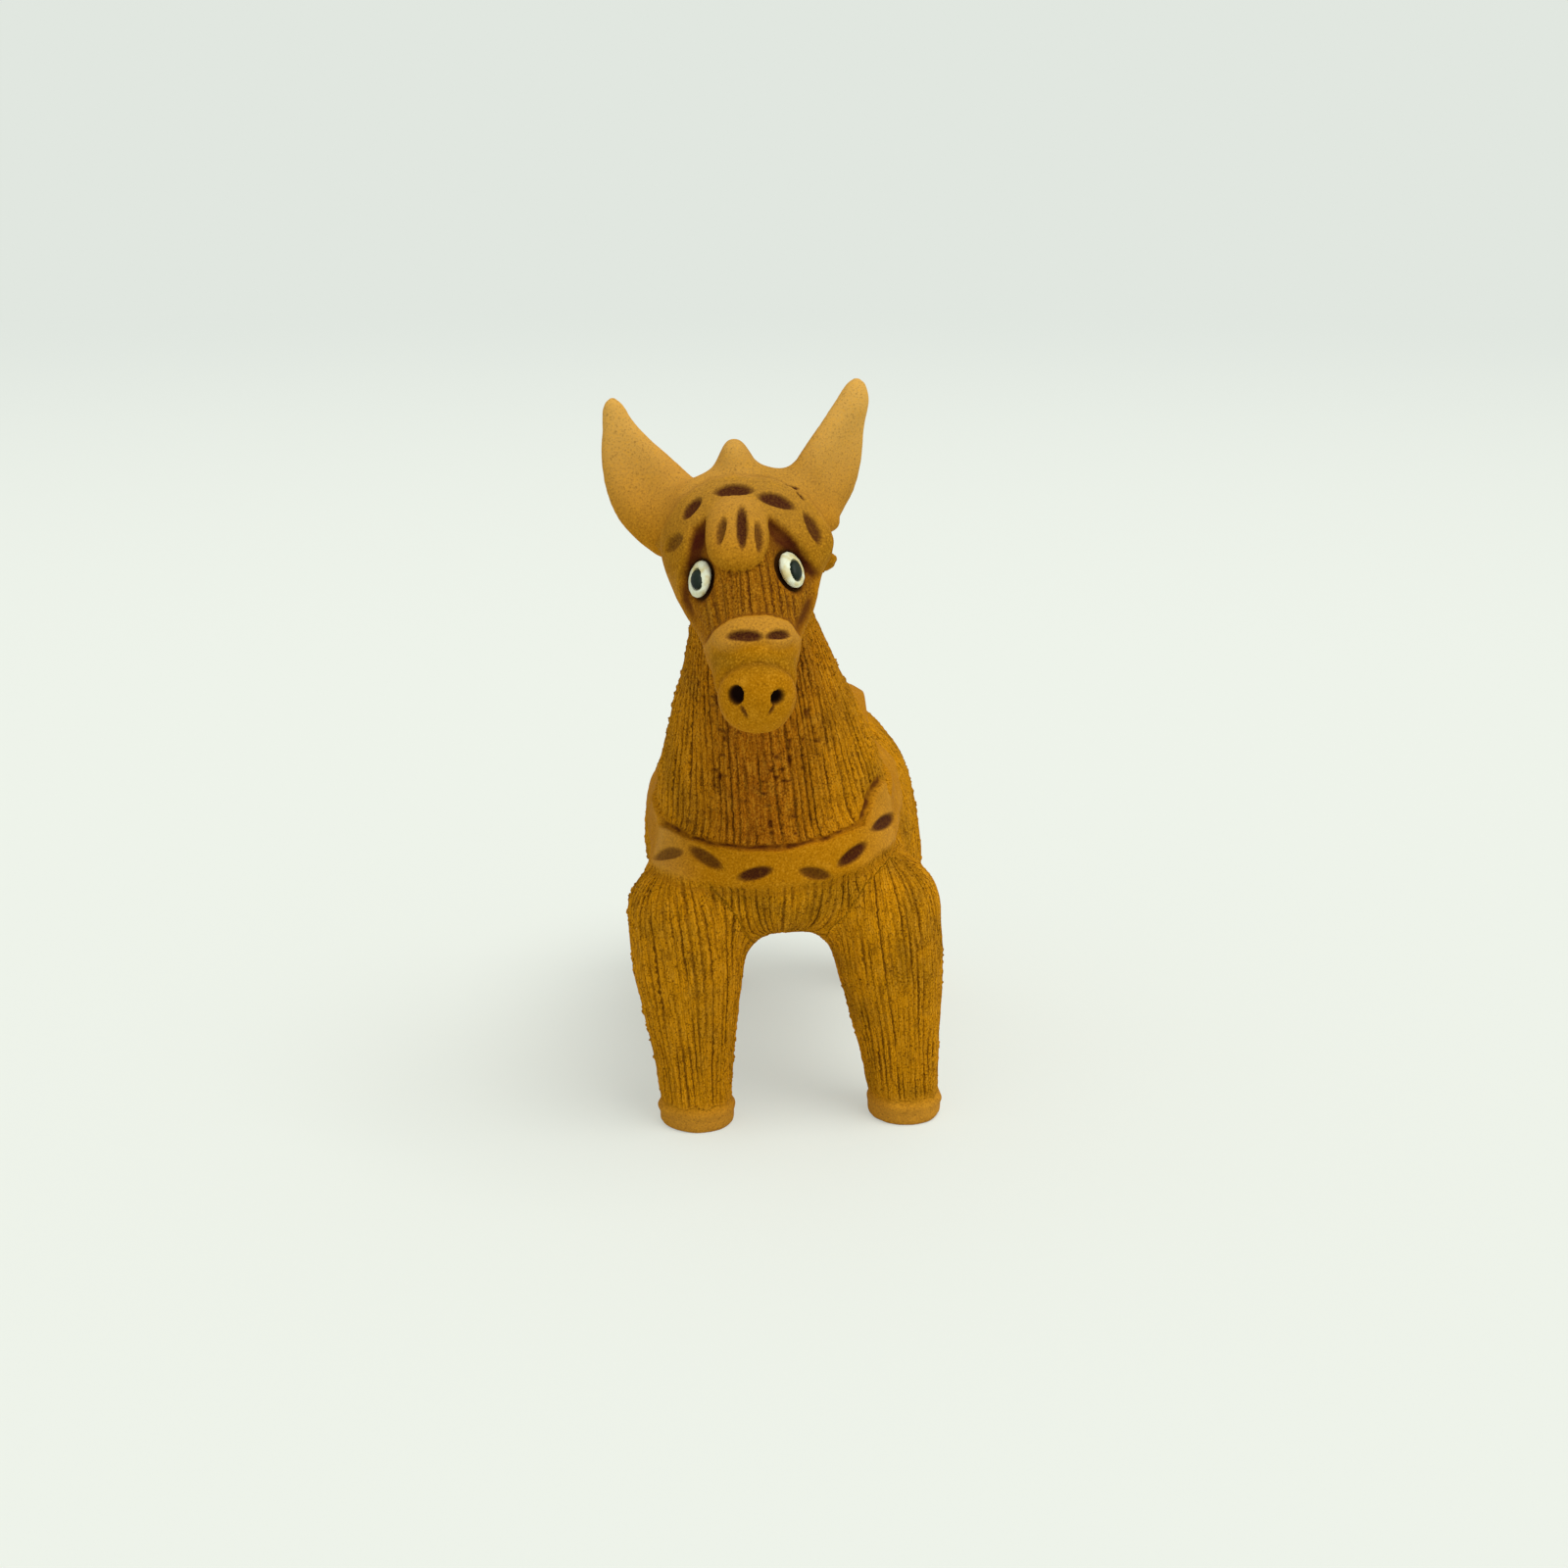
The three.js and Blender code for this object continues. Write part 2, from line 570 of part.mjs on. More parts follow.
function makeForelock() {
  const half = FORELOCK_WIDTH / 2;
  const rootY = browY + BROWBAND_WIDTH / 2;
  const tipY = browY - FORELOCK_LENGTH;
  const tongue = new THREE.Shape();
  tongue.moveTo(half, rootY);
  tongue.lineTo(-half, rootY);
  tongue.lineTo(-half, tipY + half);
  tongue.absarc(0, tipY + half, half, Math.PI, 2 * Math.PI);
  const reach = HEAD_DEPTHS[0];
  const block = headForm(JOINT_GAP + FORELOCK_THICKNESS)
    .intersect(solid(prismOf(tongue, reach, TONGUE_FACETS)));
  const slots = Array.from({ length: FORELOCK_NOTCH_COUNT }, (_, i) => {
    const x = (i - (FORELOCK_NOTCH_COUNT - 1) / 2) * FORELOCK_NOTCH_STEP;
    const slot = leafPrism(NOTCH_LENGTH, NOTCH_WIDTH, reach).rotateZ(Math.PI / 2);
    return solid(slot.translate(x, tipY + FORELOCK_LENGTH / 2, 0));
  });
  const tongueOnHead = cut(block, headForm(JOINT_GAP), browbandBox(JOINT_GAP));
  return press(tongueOnHead, slots, headForm(JOINT_GAP + FORELOCK_THICKNESS - NOTCH_DEPTH));
}

const eyeAngles = { 1: EYE_ANGLE_LEFT, "-1": -EYE_ANGLE_RIGHT };

// The frame of an eye: x across it, y along the head, z out of the face.
function eyeFrame(sign, outward) {
  const y = snoutY + EYE_BEHIND_SNOUT;
  const share = headShare(y);
  const angle = turn(eyeAngles[sign]);
  const normal = new THREE.Vector3(Math.sin(angle), 0, Math.cos(angle));
  const skin = new THREE.Vector3(headLump.across(share) * normal.x, y, headLump.over(share) * normal.z);
  return matrixAt(skin.addScaledVector(normal, outward), new THREE.Euler(0, angle, 0));
}

function eyePellet(sign, grow) {
  return pellet(new THREE.Vector3(EYE_WIDTH, EYE_LENGTH, EYE_THICKNESS), eyeFrame(sign, -EYE_SEAT), grow);
}

// The pupil sits at the eye's pole, turned about the head's length by the given look angle.
function pupilPellet(sign, look, grow) {
  const outward = EYE_THICKNESS / 2 - PUPIL_THICKNESS / 2 + PUPIL_PROUD;
  const frame = eyeFrame(sign, -EYE_SEAT)
    .multiply(new THREE.Matrix4().makeRotationY(turn(look)))
    .multiply(new THREE.Matrix4().makeTranslation(0, -PUPIL_AHEAD, outward));
  return pellet(new THREE.Vector3(PUPIL_WIDTH, PUPIL_LENGTH, PUPIL_THICKNESS), frame, grow);
}

function makeHead() {
  return cut(headForm(0), eyePellet(-1, EYE_RIM), eyePellet(1, EYE_RIM));
}

function makeNose() {
  const place = new THREE.Vector3(0, snoutY - NOSE_AHEAD, NOSE_RISE);
  const frame = matrixAt(place, new THREE.Euler(turn(-NOSE_LIFT), 0, 0));
  const button = pellet(new THREE.Vector3(2 * NOSE_RADIUS, 2 * NOSE_DEPTH, 2 * NOSE_RADIUS), frame);
  const nostrilY = -NOSE_DEPTH * Math.sqrt(1 - (NOSTRIL_SPACING / 2 / NOSE_RADIUS) ** 2);
  const nostrils = [-1, 1].map((sign) => {
    const pole = new THREE.Matrix4().makeTranslation((sign * NOSTRIL_SPACING) / 2, nostrilY, 0);
    const sizes = new THREE.Vector3(NOSTRIL_WIDTH, 2 * NOSTRIL_DEPTH, NOSTRIL_HEIGHT);
    return pellet(sizes, pole.premultiply(frame));
  });
  return cut(button, headForm(JOINT_GAP), nosebandBox(JOINT_GAP), ...nostrils);
}

const leftEar = {
  length: EAR_LENGTH_LEFT,
  splay: EAR_SPLAY_LEFT,
  turn: EAR_TURN_LEFT,
  bow: EAR_BOW_LEFT,
};
const rightEar = {
  length: EAR_LENGTH_RIGHT,
  splay: EAR_SPLAY_RIGHT,
  turn: EAR_TURN_RIGHT,
  bow: EAR_BOW_RIGHT,
};

function makeEar(sign, { length, splay: splayAngle, turn: turnAngle, bow }) {
  const splay = turn(splayAngle);
  const sweep = turn(EAR_SWEEP);
  const along = new THREE.Vector3(
    sign * Math.sin(splay),
    Math.cos(splay) * Math.sin(sweep),
    Math.cos(splay) * Math.cos(sweep),
  );
  const base = new THREE.Vector3(EAR_OFFSET + (sign * EAR_SPREAD) / 2, EAR_BACK, -EAR_DROP);
  const root = base.clone().addScaledVector(along, -EAR_ROOT);
  const tip = base.clone().addScaledVector(along, length - EAR_TIP);
  const outward = sideways.clone().multiplyScalar(sign).projectOnPlane(along).normalize();
  const elbow = root.clone().lerp(tip, 0.5).addScaledVector(outward, 2 * bow);
  const side = sideways.clone().applyAxisAngle(along, turn(turnAngle));
  const ear = {
    spine: new THREE.QuadraticBezierCurve3(root, elbow, tip),
    across: halfSizes(EAR_WIDTHS),
    over: halfSizes(EAR_THICKNESSES),
    domes: [EAR_HEEL, EAR_TIP],
    side,
    facets: SMALL_FACETS,
  };
  const front = new THREE.Vector3().crossVectors(side, along).normalize();
  const out = new THREE.Vector3().crossVectors(along, front);
  const frame = new THREE.Matrix4().makeBasis(out, along, front);
  frame.setPosition(ear.spine.getPoint(EAR_DISH_AT).addScaledVector(front, ear.over(EAR_DISH_AT)));
  const dish = pellet(new THREE.Vector3(EAR_DISH_WIDTH, EAR_DISH_LENGTH, 2 * EAR_DISH_DEPTH), frame);
  return cut(lump(ear), dish, headForm(JOINT_GAP), browbandBox(JOINT_GAP));
}

// Assembly

const smooth = { color: SMOOTH_CLAY, roughness: SMOOTH_ROUGHNESS };
const combed = { color: COMBED_CLAY, roughness: COMBED_ROUGHNESS };
const eyeGlaze = { color: EYE_WHITE, roughness: GLAZE_ROUGHNESS };
const pupilGlaze = { color: PUPIL_DARK, roughness: GLAZE_ROUGHNESS };

function addPiece(group, name, shape, look, position = new THREE.Vector3()) {
  const mesh = new THREE.Mesh(geometryOf(shape), new THREE.MeshStandardMaterial(look));
  mesh.name = name;
  mesh.position.copy(position);
  group.add(mesh);
}

function makeBodyGroup() {
  const body = new THREE.Group();
  addPiece(body, "trunk", makeTrunk(), combed);
  addPiece(body, "neck", makeNeck(), combed);
  addPiece(body, "mane", makeMane(), combed);
  addPiece(body, "saddle", makeSaddle(), smooth);
  addPiece(body, "breast_collar", makeCollar(), smooth);
  addPiece(body, "tail", makeTail(), combed);
  legs.forEach((leg) => {
    const foot = leg.lump.spine.getPoint(0).setZ(0);
    addPiece(body, `leg_${leg.name}`, makeLeg(leg), combed);
    addPiece(body, `hoof_${leg.name}`, makeHoof(), smooth, foot);
  });
  return body;
}

function makeHeadGroup() {
  const head = new THREE.Group();
  head.applyMatrix4(headMatrix);
  addPiece(head, "head", makeHead(), combed);
  addPiece(head, "nose", makeNose(), smooth);
  addPiece(head, "browband", makeBrowband(), smooth);
  addPiece(head, "noseband", makeNoseband(), smooth);
  addPiece(head, "forelock", makeForelock(), smooth);
  addPiece(head, "bridle_knot", knotPellet(0), smooth);
  const sides = [
    { name: "left", sign: 1, look: LOOK_LEFT, ear: leftEar, drop: CHEEK_STRAP_DROP_LEFT },
    { name: "right", sign: -1, look: LOOK_RIGHT, ear: rightEar, drop: CHEEK_STRAP_DROP_RIGHT },
  ];
  sides.forEach(({ name, sign, look, ear, drop }) => {
    const eye = cut(eyePellet(sign, 0), pupilPellet(sign, look, JOINT_GAP));
    addPiece(head, `cheek_strap_${name}`, makeCheekStrap(sign, drop), smooth);
    addPiece(head, `ear_${name}`, makeEar(sign, ear), smooth);
    addPiece(head, `eye_${name}`, eye, eyeGlaze);
    addPiece(head, `pupil_${name}`, pupilPellet(sign, look, 0), pupilGlaze);
  });
  return head;
}

// The finished part stands with its bounding box centred over the origin.
const donkey = new THREE.Group();
donkey.name = "donkey";
donkey.add(makeBodyGroup(), makeHeadGroup());
const middle = new THREE.Box3().setFromObject(donkey, true).getCenter(new THREE.Vector3());
donkey.position.set(-middle.x, -middle.y, 0);

export default donkey;
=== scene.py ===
"""Looks of a hand-built terracotta donkey, made around its CAD frame.

The frame's lumps of clay are joined into one skin. Straps are raised on that skin, and stick marks,
comb marks and crumbs are worked into it. It is then parted into the frame's own pieces again. The
eyes, the pupils and the saddle are rounded copies of the frame's own.
Metres, +Z up. The donkey looks along -Y, so its left side is +X.
"""

import json
import math

import bmesh
import bpy
import numpy as np
from mathutils import Matrix, Vector
from mathutils.bvhtree import BVHTree

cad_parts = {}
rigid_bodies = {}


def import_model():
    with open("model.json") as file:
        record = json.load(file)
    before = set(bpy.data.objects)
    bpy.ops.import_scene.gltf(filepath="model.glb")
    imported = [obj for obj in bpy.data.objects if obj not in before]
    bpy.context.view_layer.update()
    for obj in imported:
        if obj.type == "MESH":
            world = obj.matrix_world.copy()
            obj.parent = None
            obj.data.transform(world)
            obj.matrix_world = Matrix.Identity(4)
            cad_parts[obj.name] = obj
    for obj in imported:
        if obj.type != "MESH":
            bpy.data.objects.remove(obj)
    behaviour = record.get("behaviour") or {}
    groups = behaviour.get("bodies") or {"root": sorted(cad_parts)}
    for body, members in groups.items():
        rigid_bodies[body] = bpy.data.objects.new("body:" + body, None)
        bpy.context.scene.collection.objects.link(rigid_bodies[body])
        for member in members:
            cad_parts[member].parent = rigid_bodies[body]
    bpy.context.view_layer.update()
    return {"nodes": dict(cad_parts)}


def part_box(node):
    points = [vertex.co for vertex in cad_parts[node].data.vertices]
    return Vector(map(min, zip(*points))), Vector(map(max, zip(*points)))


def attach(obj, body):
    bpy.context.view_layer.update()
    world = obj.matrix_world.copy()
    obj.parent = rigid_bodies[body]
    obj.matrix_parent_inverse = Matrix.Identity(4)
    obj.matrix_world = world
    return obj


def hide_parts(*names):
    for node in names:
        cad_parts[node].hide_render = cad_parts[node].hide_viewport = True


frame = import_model()

MM = 0.001


def mm(*values):
    """Millimetres as metres."""
    return tuple(value * MM for value in values)


# Camera, from the photograph's view
IMAGE_SIZE = 1600
FOCAL_PIXELS = 2400
SENSOR_WIDTH = 36
CLIP_START = 0.01
CAMERA_PLACE = Vector((1.7, -569.8, 237)) * MM
CAMERA_DOWN = math.radians(15.8)

# How the head lies
HEAD_PITCH = math.radians(42)
HEAD_ROLL = math.radians(7)

# The joined skin
SKIN_VOXEL = 0.84 * MM
PELLET_VOXEL = 0.22 * MM
SADDLE_VOXEL = 0.5 * MM
JOIN_SWELL = 0.35 * MM
BODY_FILL = 7 * MM
HEAD_FILL = 2.6 * MM
HEAD_TRIM = 0.5 * MM
JOIN_SMOOTHING = 2
BODY_SMOOTHING = 10
HEAD_SMOOTHING = 6
SKIN_SMOOTHING = 5
EYE_SMOOTHING = 6
PUPIL_SMOOTHING = 3
SADDLE_SMOOTHING = 8
SMOOTHING_STEP = 0.5
RIM_DEPTH = 2.5 * MM
RIM_SHARE = 0.4
MOST_TRIANGLES = 190000
MERGE_DISTANCE = 1e-6
OWNER_REACH = 12 * MM

SIDES = ("left", "right")
LEGS = [f"leg_{end}_{side}" for end in ("front", "rear") for side in SIDES]
HOOVES = [f"hoof_{end}_{side}" for end in ("front", "rear") for side in SIDES]
EARS = [f"ear_{side}" for side in SIDES]
LUTED = [*HOOVES, "nose", "tail", "bridle_knot"]
LUMPS = ["trunk", "neck", "head", "mane", *LEGS, *EARS, *LUTED]
COMBED = ["trunk", "neck", "head", *LEGS, "mane", "tail"]
BRIDLE = ["browband", "noseband", "cheek_strap_left", "cheek_strap_right"]
OWNERS = [*LUMPS, *BRIDLE, "forelock", "breast_collar"]

# Straps by pixels of the photograph: the face between them, the noseband, the forelock and the collar
FACE_OUTLINE = [
    (724, 530), (710, 541), (705, 562), (699, 590), (699, 612), (709, 637), (722, 659), (730, 646),
    (745, 633), (766, 629), (788, 630), (803, 635), (812, 649), (822, 625), (834, 605), (839, 593),
    (824, 574), (811, 555), (798, 541), (780, 528),
]
BROW_OUTLINE = [
    (674, 555), (697, 512), (727, 492), (750, 487), (787, 493), (819, 509), (840, 534), (851, 560),
    (900, 1000), (600, 1000),
]
NOSEBAND_LINE = [(745, 651), (756, 645), (770, 643), (783, 643), (792, 648)]
NOSEBAND_HALF = 15
NOSEBAND_DROOP = 5
DROOP_ROWS = (645, 657)
FORELOCK_MIDDLE = (752.5, 546)
FORELOCK_HALF = (32, 38)
COLLAR_OUTLINE = [
    (668, 818), (676, 840), (701, 855), (731, 864), (768, 868), (805, 866), (842, 858), (879, 842),
    (890, 810), (905, 784), (920, 796), (934, 836), (927, 848), (909, 868), (879, 890), (842, 903),
    (798, 910), (742, 910), (694, 903), (664, 888), (654, 862), (645, 830),
]
UNDER_BROW_ROWS = (606, 572)
BROW_ROWS = (640, 560)
FACE_COLUMN = 768
CHEEK_COLUMNS = (34, 50)
SHADOW_ROW = 676
SHADOW_HALF = 12

# Size of one such pixel on the donkey
PIXEL = MM / 4.45

# Straps and the forelock. A pair says where a change starts and ends
FACE_TURN = (0.02, 0.3)
FACE_BACK = -4 * MM
FACE_EDGE = mm(-1.0, 0.7)
FACE_OPENING = mm(-0.3, 0.4)
STRAP_EDGE = 0.6 * MM
STRAP_SLOPE = 0.7 * MM
STRAP_WIDTH = 7.5 * MM
STRAP_FADE = 5 * MM
STRAP_RISE = 1.4 * MM
STRAP_RELAX = 6
STRAP_WAVER = 0.25 * MM
POLL_RISE = 0.4
POLL_EDGE = mm(-0.3, 0.7)
POLL_SHADE = mm(-1, 1)
MUZZLE_RISE = 0.25
CHEEK_END = mm(8, 15)
# Where the painted highlight along the cheek straps starts and ends
CHEEK_PALE_START = mm(0, 1)
CHEEK_PALE_END = mm(2, 4)
NOSEBAND_RISE = 2.1 * MM
NOSEBAND_CREST = (0.45, 1)
NOSEBAND_EDGE = (0.1, 0.5)
NOSEBAND_OWNS = 0.3
FORELOCK_RISE = 3.6 * MM
FORELOCK_SQUARENESS = 2.4
FORELOCK_DOME = 0.55
FORELOCK_EDGE = (0, 0.2)
FORELOCK_FOOT = (0, 0.25)
FORELOCK_OWNS = 0.1
BROW_GAP = 0.9 * MM
BROW_FADE = 2.8 * MM
BROW_EDGE = mm(-0.9, 0.5)
KNOT_REACH = 0.8 * MM
CROSSING_POWER = 4

# Eyes, the nose and the hooves
EYE_SHIFTS = {"left": Vector((0.7, 0.3, -0.1)) * MM, "right": Vector((-0.4, 0.3, -0.1)) * MM}
SOCKET_DEPTH = 0.8 * MM
SOCKET_REACH = 4 * MM
SOCKET_RIM = mm(0.3, 1.5)
SOCKET_PIT = mm(0.4, 1.1)
SOCKET_SHADE = mm(0.6, 2.2)
CREASE_DEPTH = 1.1 * MM
CREASE_EDGE = mm(0.2, 2)
HOOF_RIM = 0.5 * MM
HOOF_RIM_HEIGHT = 4.4 * MM
HOOF_RIM_HALF = 1.1 * MM
HOOF_FOOT = 0.2 * MM
HOOF_FOOT_HEIGHT = 1 * MM
HOOF_UNEVEN = 0.7

# Breast collar
COLLAR_RISE = 1.4 * MM
COLLAR_TURN = (0.2, 0.36)
COLLAR_END = mm(0, 1)
COLLAR_UPPER_EDGE = -0.5 * MM
COLLAR_LOWER_EDGE = -2 * MM
COLLAR_OUTER_EDGE = 0.3 * MM
COLLAR_HIDDEN_UPPER = mm(0, 0.8)
COLLAR_HIDDEN_LOWER = mm(0, 2.4)
# Painted light on the collar's ends: where it starts and ends, and how strong on each side
COLLAR_SIDES = mm(16, 30)
COLLAR_PALE = {"left": 0.28, "right": 0.42}
CRACK_DEPTH = 0.4 * MM
# Painted shade in the crack along the collar: how dark, how much it varies, and along its lower edge
CRACK_DARK = 0.9
CRACK_VARIES = 0.6
LOWER_CRACK_DARK = 0.35

# Painted shade lines along an outline: how far outside it, and where they start and end to fade
POLL_LINE = mm(0.6, 0.1, 0.7)
FACE_LINE = mm(-0.5, 0.2, 0.9)
COLLAR_LINE = mm(0.5, 0.2, 0.7)

# How strongly the head is tinted: painted shade, painted highlights and the face's own olive
POLL_RECESS = 0.22
FACE_RECESS = 0.45
CHEEK_RECESS = 0.4
BROW_RECESS = 2
SOCKET_RECESS = 0.7
SOCKET_DARK = 0.8
CREASE_RECESS = 0.4
CHEEK_PALE = 0.3
NOSEBAND_PALE = 0.3
SHADOW_OLIVE = 0.8
BROW_OLIVE = 0.6
FACE_OLIVE = 0.5

# Swellings by pixel of the photograph: place, and in mm radius, way to the right and way outwards
SWELLS = [
    # Foot of the left ear, and the brow below it
    ((838, 537), 4.5, 3.3, 0),
    ((832, 552), 4.5, 3.0, 0),
    # Left cheek
    ((820, 610), 7, 1.2, 0),
    # Tip of the left ear
    ((875, 408), 5, 0.4, 1.1),
    # Left flank and the shoulders
    ((933, 815), 16, -1.6, 0),
    ((652, 955), 13, 0.9, 0),
    ((948, 955), 13, -0.9, 0),
]

# Marks by pixel of the photograph: place, slant in degrees, length, width and depth in mm, darkness of
# the painted shade in them
STICK_DEPTH = 1.1
MOST_STRETCH = 2.3
PIT_DEPTH = 2.4
BURR_HEIGHT = -0.5
MARKS = [
    # Breast collar
    ((680, 871), 8, 8, 3.4, STICK_DEPTH, 0.7),
    ((719, 875), -32, 10.5, 3.4, STICK_DEPTH, 0.8),
    ((770, 892), 14, 9.4, 3.2, STICK_DEPTH, 1),
    ((832, 892), -12, 8.6, 3.2, STICK_DEPTH, 0.8),
    ((871, 872), 38, 9.6, 3.4, STICK_DEPTH, 1),
    ((904, 838), 34, 7.4, 3.4, STICK_DEPTH, 1),
    # Browband
    ((686, 554), 35, 5, 4.0, STICK_DEPTH, 0.6),
    ((705, 518), 52, 6.8, 4.4, STICK_DEPTH, 1),
    ((748, 499), 2, 9.8, 4.8, STICK_DEPTH, 1),
    ((793, 510), -18, 9.6, 4.8, STICK_DEPTH, 1),
    ((830, 538), -65, 9, 4.0, STICK_DEPTH, 0.9),
    # Noseband
    ((759, 648), 0, 9, 2.9, STICK_DEPTH, 1),
    ((796, 647), 4, 5.6, 2.6, STICK_DEPTH, 1),
    # Forelock
    ((735, 541), 80, 7, 2.4, STICK_DEPTH, 0.8),
    ((757, 536), 91, 10.5, 2.7, STICK_DEPTH, 1),
    ((775, 547), 96, 7.6, 2.2, STICK_DEPTH, 0.8),
    # Nostrils, and a gouge below each
    ((750, 710), 80, 4.4, 3.8, PIT_DEPTH, 2),
    ((794, 712), 60, 4.0, 3.6, PIT_DEPTH, 2),
    ((759, 727), -60, 3.6, 1.2, 0.5, 0.8),
    ((788, 724), 60, 3.0, 1.2, 0.5, 0.8),
    # Crack beside the left ear
    ((808, 497), -20, 3.4, 1.3, 0.5, 1),
    ((817, 505), -50, 3.0, 1.3, 0.5, 1),
    # Burrs left by the comb
    ((756, 968), 60, 2.2, 1.5, BURR_HEIGHT, 0),
    ((850, 968), 60, 2.2, 1.5, BURR_HEIGHT, 0),
    ((880, 1054), 60, 2.2, 1.5, BURR_HEIGHT, 0),
]

# Profile of a mark, and how strongly painted shade darkens it
MARK_TAPER = 1.2
MARK_FLATNESS = 0.7
MARK_REACH = mm(2.5, 6)
MARK_TINT = 1.6
PIT_TINT = 1.5

# Comb marks. The first tooth's number keeps all of them positive
COMB_PITCH = 1.65 * MM
COMB_DEPTH = 0.45 * MM
COMB_GROOVE = 0.26
COMB_TILT = 0.02
COMB_SEAM = 0.5
FIRST_TOOTH = 500
TOOTH_SPREAD = 7.3
STROKE_LENGTH = 9 * MM
STROKE_DEPTH = 0.62
STROKE_VARIES = 0.75
LEAST_STROKE = 0.1
FACE_EASE = 0.1
FINE_DEPTH = 0.12 * MM
FINE_PER_TOOTH = 2.3
FINE_GROOVE = 0.3
LIMB_BLEND = 0.9 * MM
RECESS_UNCOMBED = 1.5
END_FLATNESS = 2

# Drift of the comb: how far, how long across and along in mm, and what is added to the seed
COMB_DRIFTS = [
    (1.1 * MM, (7, 40, 1), 0),
    (0.5 * MM, (2.6, 22, 1), 5),
]

# Crumbs, dents and torn clay
CRUMB_HEIGHT = 0.36 * MM
CRUMB_LEVEL = 0.3
CRUMB_PATCH_LEVEL = 0.2
CRUMB_PATCH_GAIN = 1.5
DENT_DEPTH = 0.22 * MM
SMALL_DENT_DEPTH = 0.08 * MM
TEAR_DEPTH = 1.0 * MM
TEAR_STRETCH = (1, 1, 1.5)
TEAR_LEVEL = 0.3
TEAR_MOST = 0.5
TEAR_PATCH = (-0.1, 0.4)
TEAR_RECESS = 3
TEAR_RECESS_MOST = 0.8

# Where the clay is bare, torn or tinted
BARE_HEAD = 6 * MM
BARE_POLL = mm(136, 144)
BARE_KNOT = mm(2, 4)
BARE_SOLES = mm(4, 7.5)
SOLE_WAVER = 2 * MM
BREAST_MIDDLE = -4 * MM
BREAST_HALF = 15 * MM
BREAST_BOTTOM = mm(62, 78)
BREAST_TOP = mm(118, 136)
BREAST_FRONT = mm(0, 12)
FACE_RUDDY = 0.85
CROWN_HALF = 9 * MM
CROWN_BOTTOM = mm(148, 156)
CROWN_OLIVE = 0.45
# Paler towards the top: partly the clay's own tone, partly painted light
PALE_TOP = mm(138, 178)
PALE_SOLES = mm(3, 8)
SOLE_PALE = 0.25

# Noise: the size of its lumps and its seed
STRAP_NOISE = (2.5 * MM, 21)
HOOF_NOISE = (4 * MM, 31)
CRACK_NOISE = (1.6 * MM, 12)
SOLE_NOISE = (5 * MM, 81)
CRUMB_NOISE = (0.75 * MM, 71)
CRUMB_PATCH_NOISE = (6 * MM, 73)
DENT_NOISE = (8 * MM, 72)
SMALL_DENT_NOISE = (2.4 * MM, 74)
TEAR_NOISE = (1.5 * MM, 75)
TEAR_PATCH_NOISE = (7 * MM, 76)
PLACE_PRIMES = (73856093, 19349663, 83492791)
SEED_PRIME = 2654435761
MIX_PRIME = 1274126177


def rgb(red, green, blue):
    """A display colour from 0 to 255 as a linear one."""
    shares = [value / 255 for value in (red, green, blue)]
    return (*(s / 12.92 if s < 0.04045 else ((s + 0.055) / 1.055) ** 2.4 for s in shares), 1)


# Colours
CLAY_GOLD = rgb(174, 114, 4)
CLAY_COMBED = rgb(212, 142, 6)
CLAY_PALE = rgb(216, 166, 80)
CLAY_RED = rgb(158, 82, 12)
CLAY_OLIVE = rgb(132, 92, 8)
CLAY_LIGHT = rgb(222, 158, 40)
CLAY_DARK = rgb(72, 36, 6)
# Colours of painted shade: in recesses and grooves, in pressed marks and in pits
SHADE_MAROON = rgb(62, 16, 10)
MARK_SHADE = rgb(66, 28, 14)
PIT_SHADE = rgb(26, 12, 6)
EYE_WHITE = rgb(228, 234, 206)
EYE_CREAM = rgb(204, 186, 110)
PUPIL_DARK = rgb(10, 22, 16)
PUPIL_GREEN = rgb(26, 44, 26)

# Surfaces
COMBED_ROUGHNESS = 0.85
SMOOTH_ROUGHNESS = 0.75
CLAY_SHINE = 0.03
CLAY_BUMP = 0.3 * MM
BROAD_SIZE = 16 * MM
PATCH_SIZE = 4 * MM
GRAIN_SIZE = 0.45 * MM
WOBBLE_SIZE = 1.1 * MM
WOBBLE = 0.7
GROOVE_EDGE = (0.03, 0.24)
SCRATCH_EDGE = (0.05, 0.4)
SCRATCHES_PER_TOOTH = 2.7
STREAKS_PER_TOOTH = 2.6
STREAKS_PER_MM = 0.2
EYE_ROUGHNESS = 0.45
EYE_SHINE = 0.3
EYE_PATCH_SIZE = 3 * MM
EYE_GRAIN_SIZE = 0.4 * MM
PUPIL_ROUGHNESS = 0.5
PUPIL_SHINE = 0.2
PUPIL_PATCH_SIZE = 1.2 * MM

# Stage
SEEING_RAYS = ("Camera", "Glossy", "Transmission")
FLOOR_SIZE = 60
FLOOR_NEAR = rgb(233, 238, 229)
FLOOR_FAR = rgb(225, 231, 224)
FLOOR_FADE = (0.3, 2.5)
FLOOR_GLOW = 0.5
GLOW_FADE = (0.35, 2.5)
FLOOR_ROUGHNESS = 0.9
SKY_LIGHT = 0.58
SKY_WHITE = (1, 1, 1, 1)
SUN_LIGHT = 1.8
SUN_SPREAD = math.radians(40)
SUN_FROM = Vector((0.35, -0.3, 1))


# Mesh helpers

def node_bmesh(*names):
    shape = bmesh.new()
    for name in names:
        shape.from_mesh(frame["nodes"][name].data)
    bmesh.ops.remove_doubles(shape, verts=shape.verts, dist=MERGE_DISTANCE)
    return shape


def add_object(name, shape):
    mesh = bpy.data.meshes.new(name)
    shape.to_mesh(mesh)
    shape.free()
    piece = bpy.data.objects.new(name, mesh)
    bpy.context.scene.collection.objects.link(piece)
    return piece


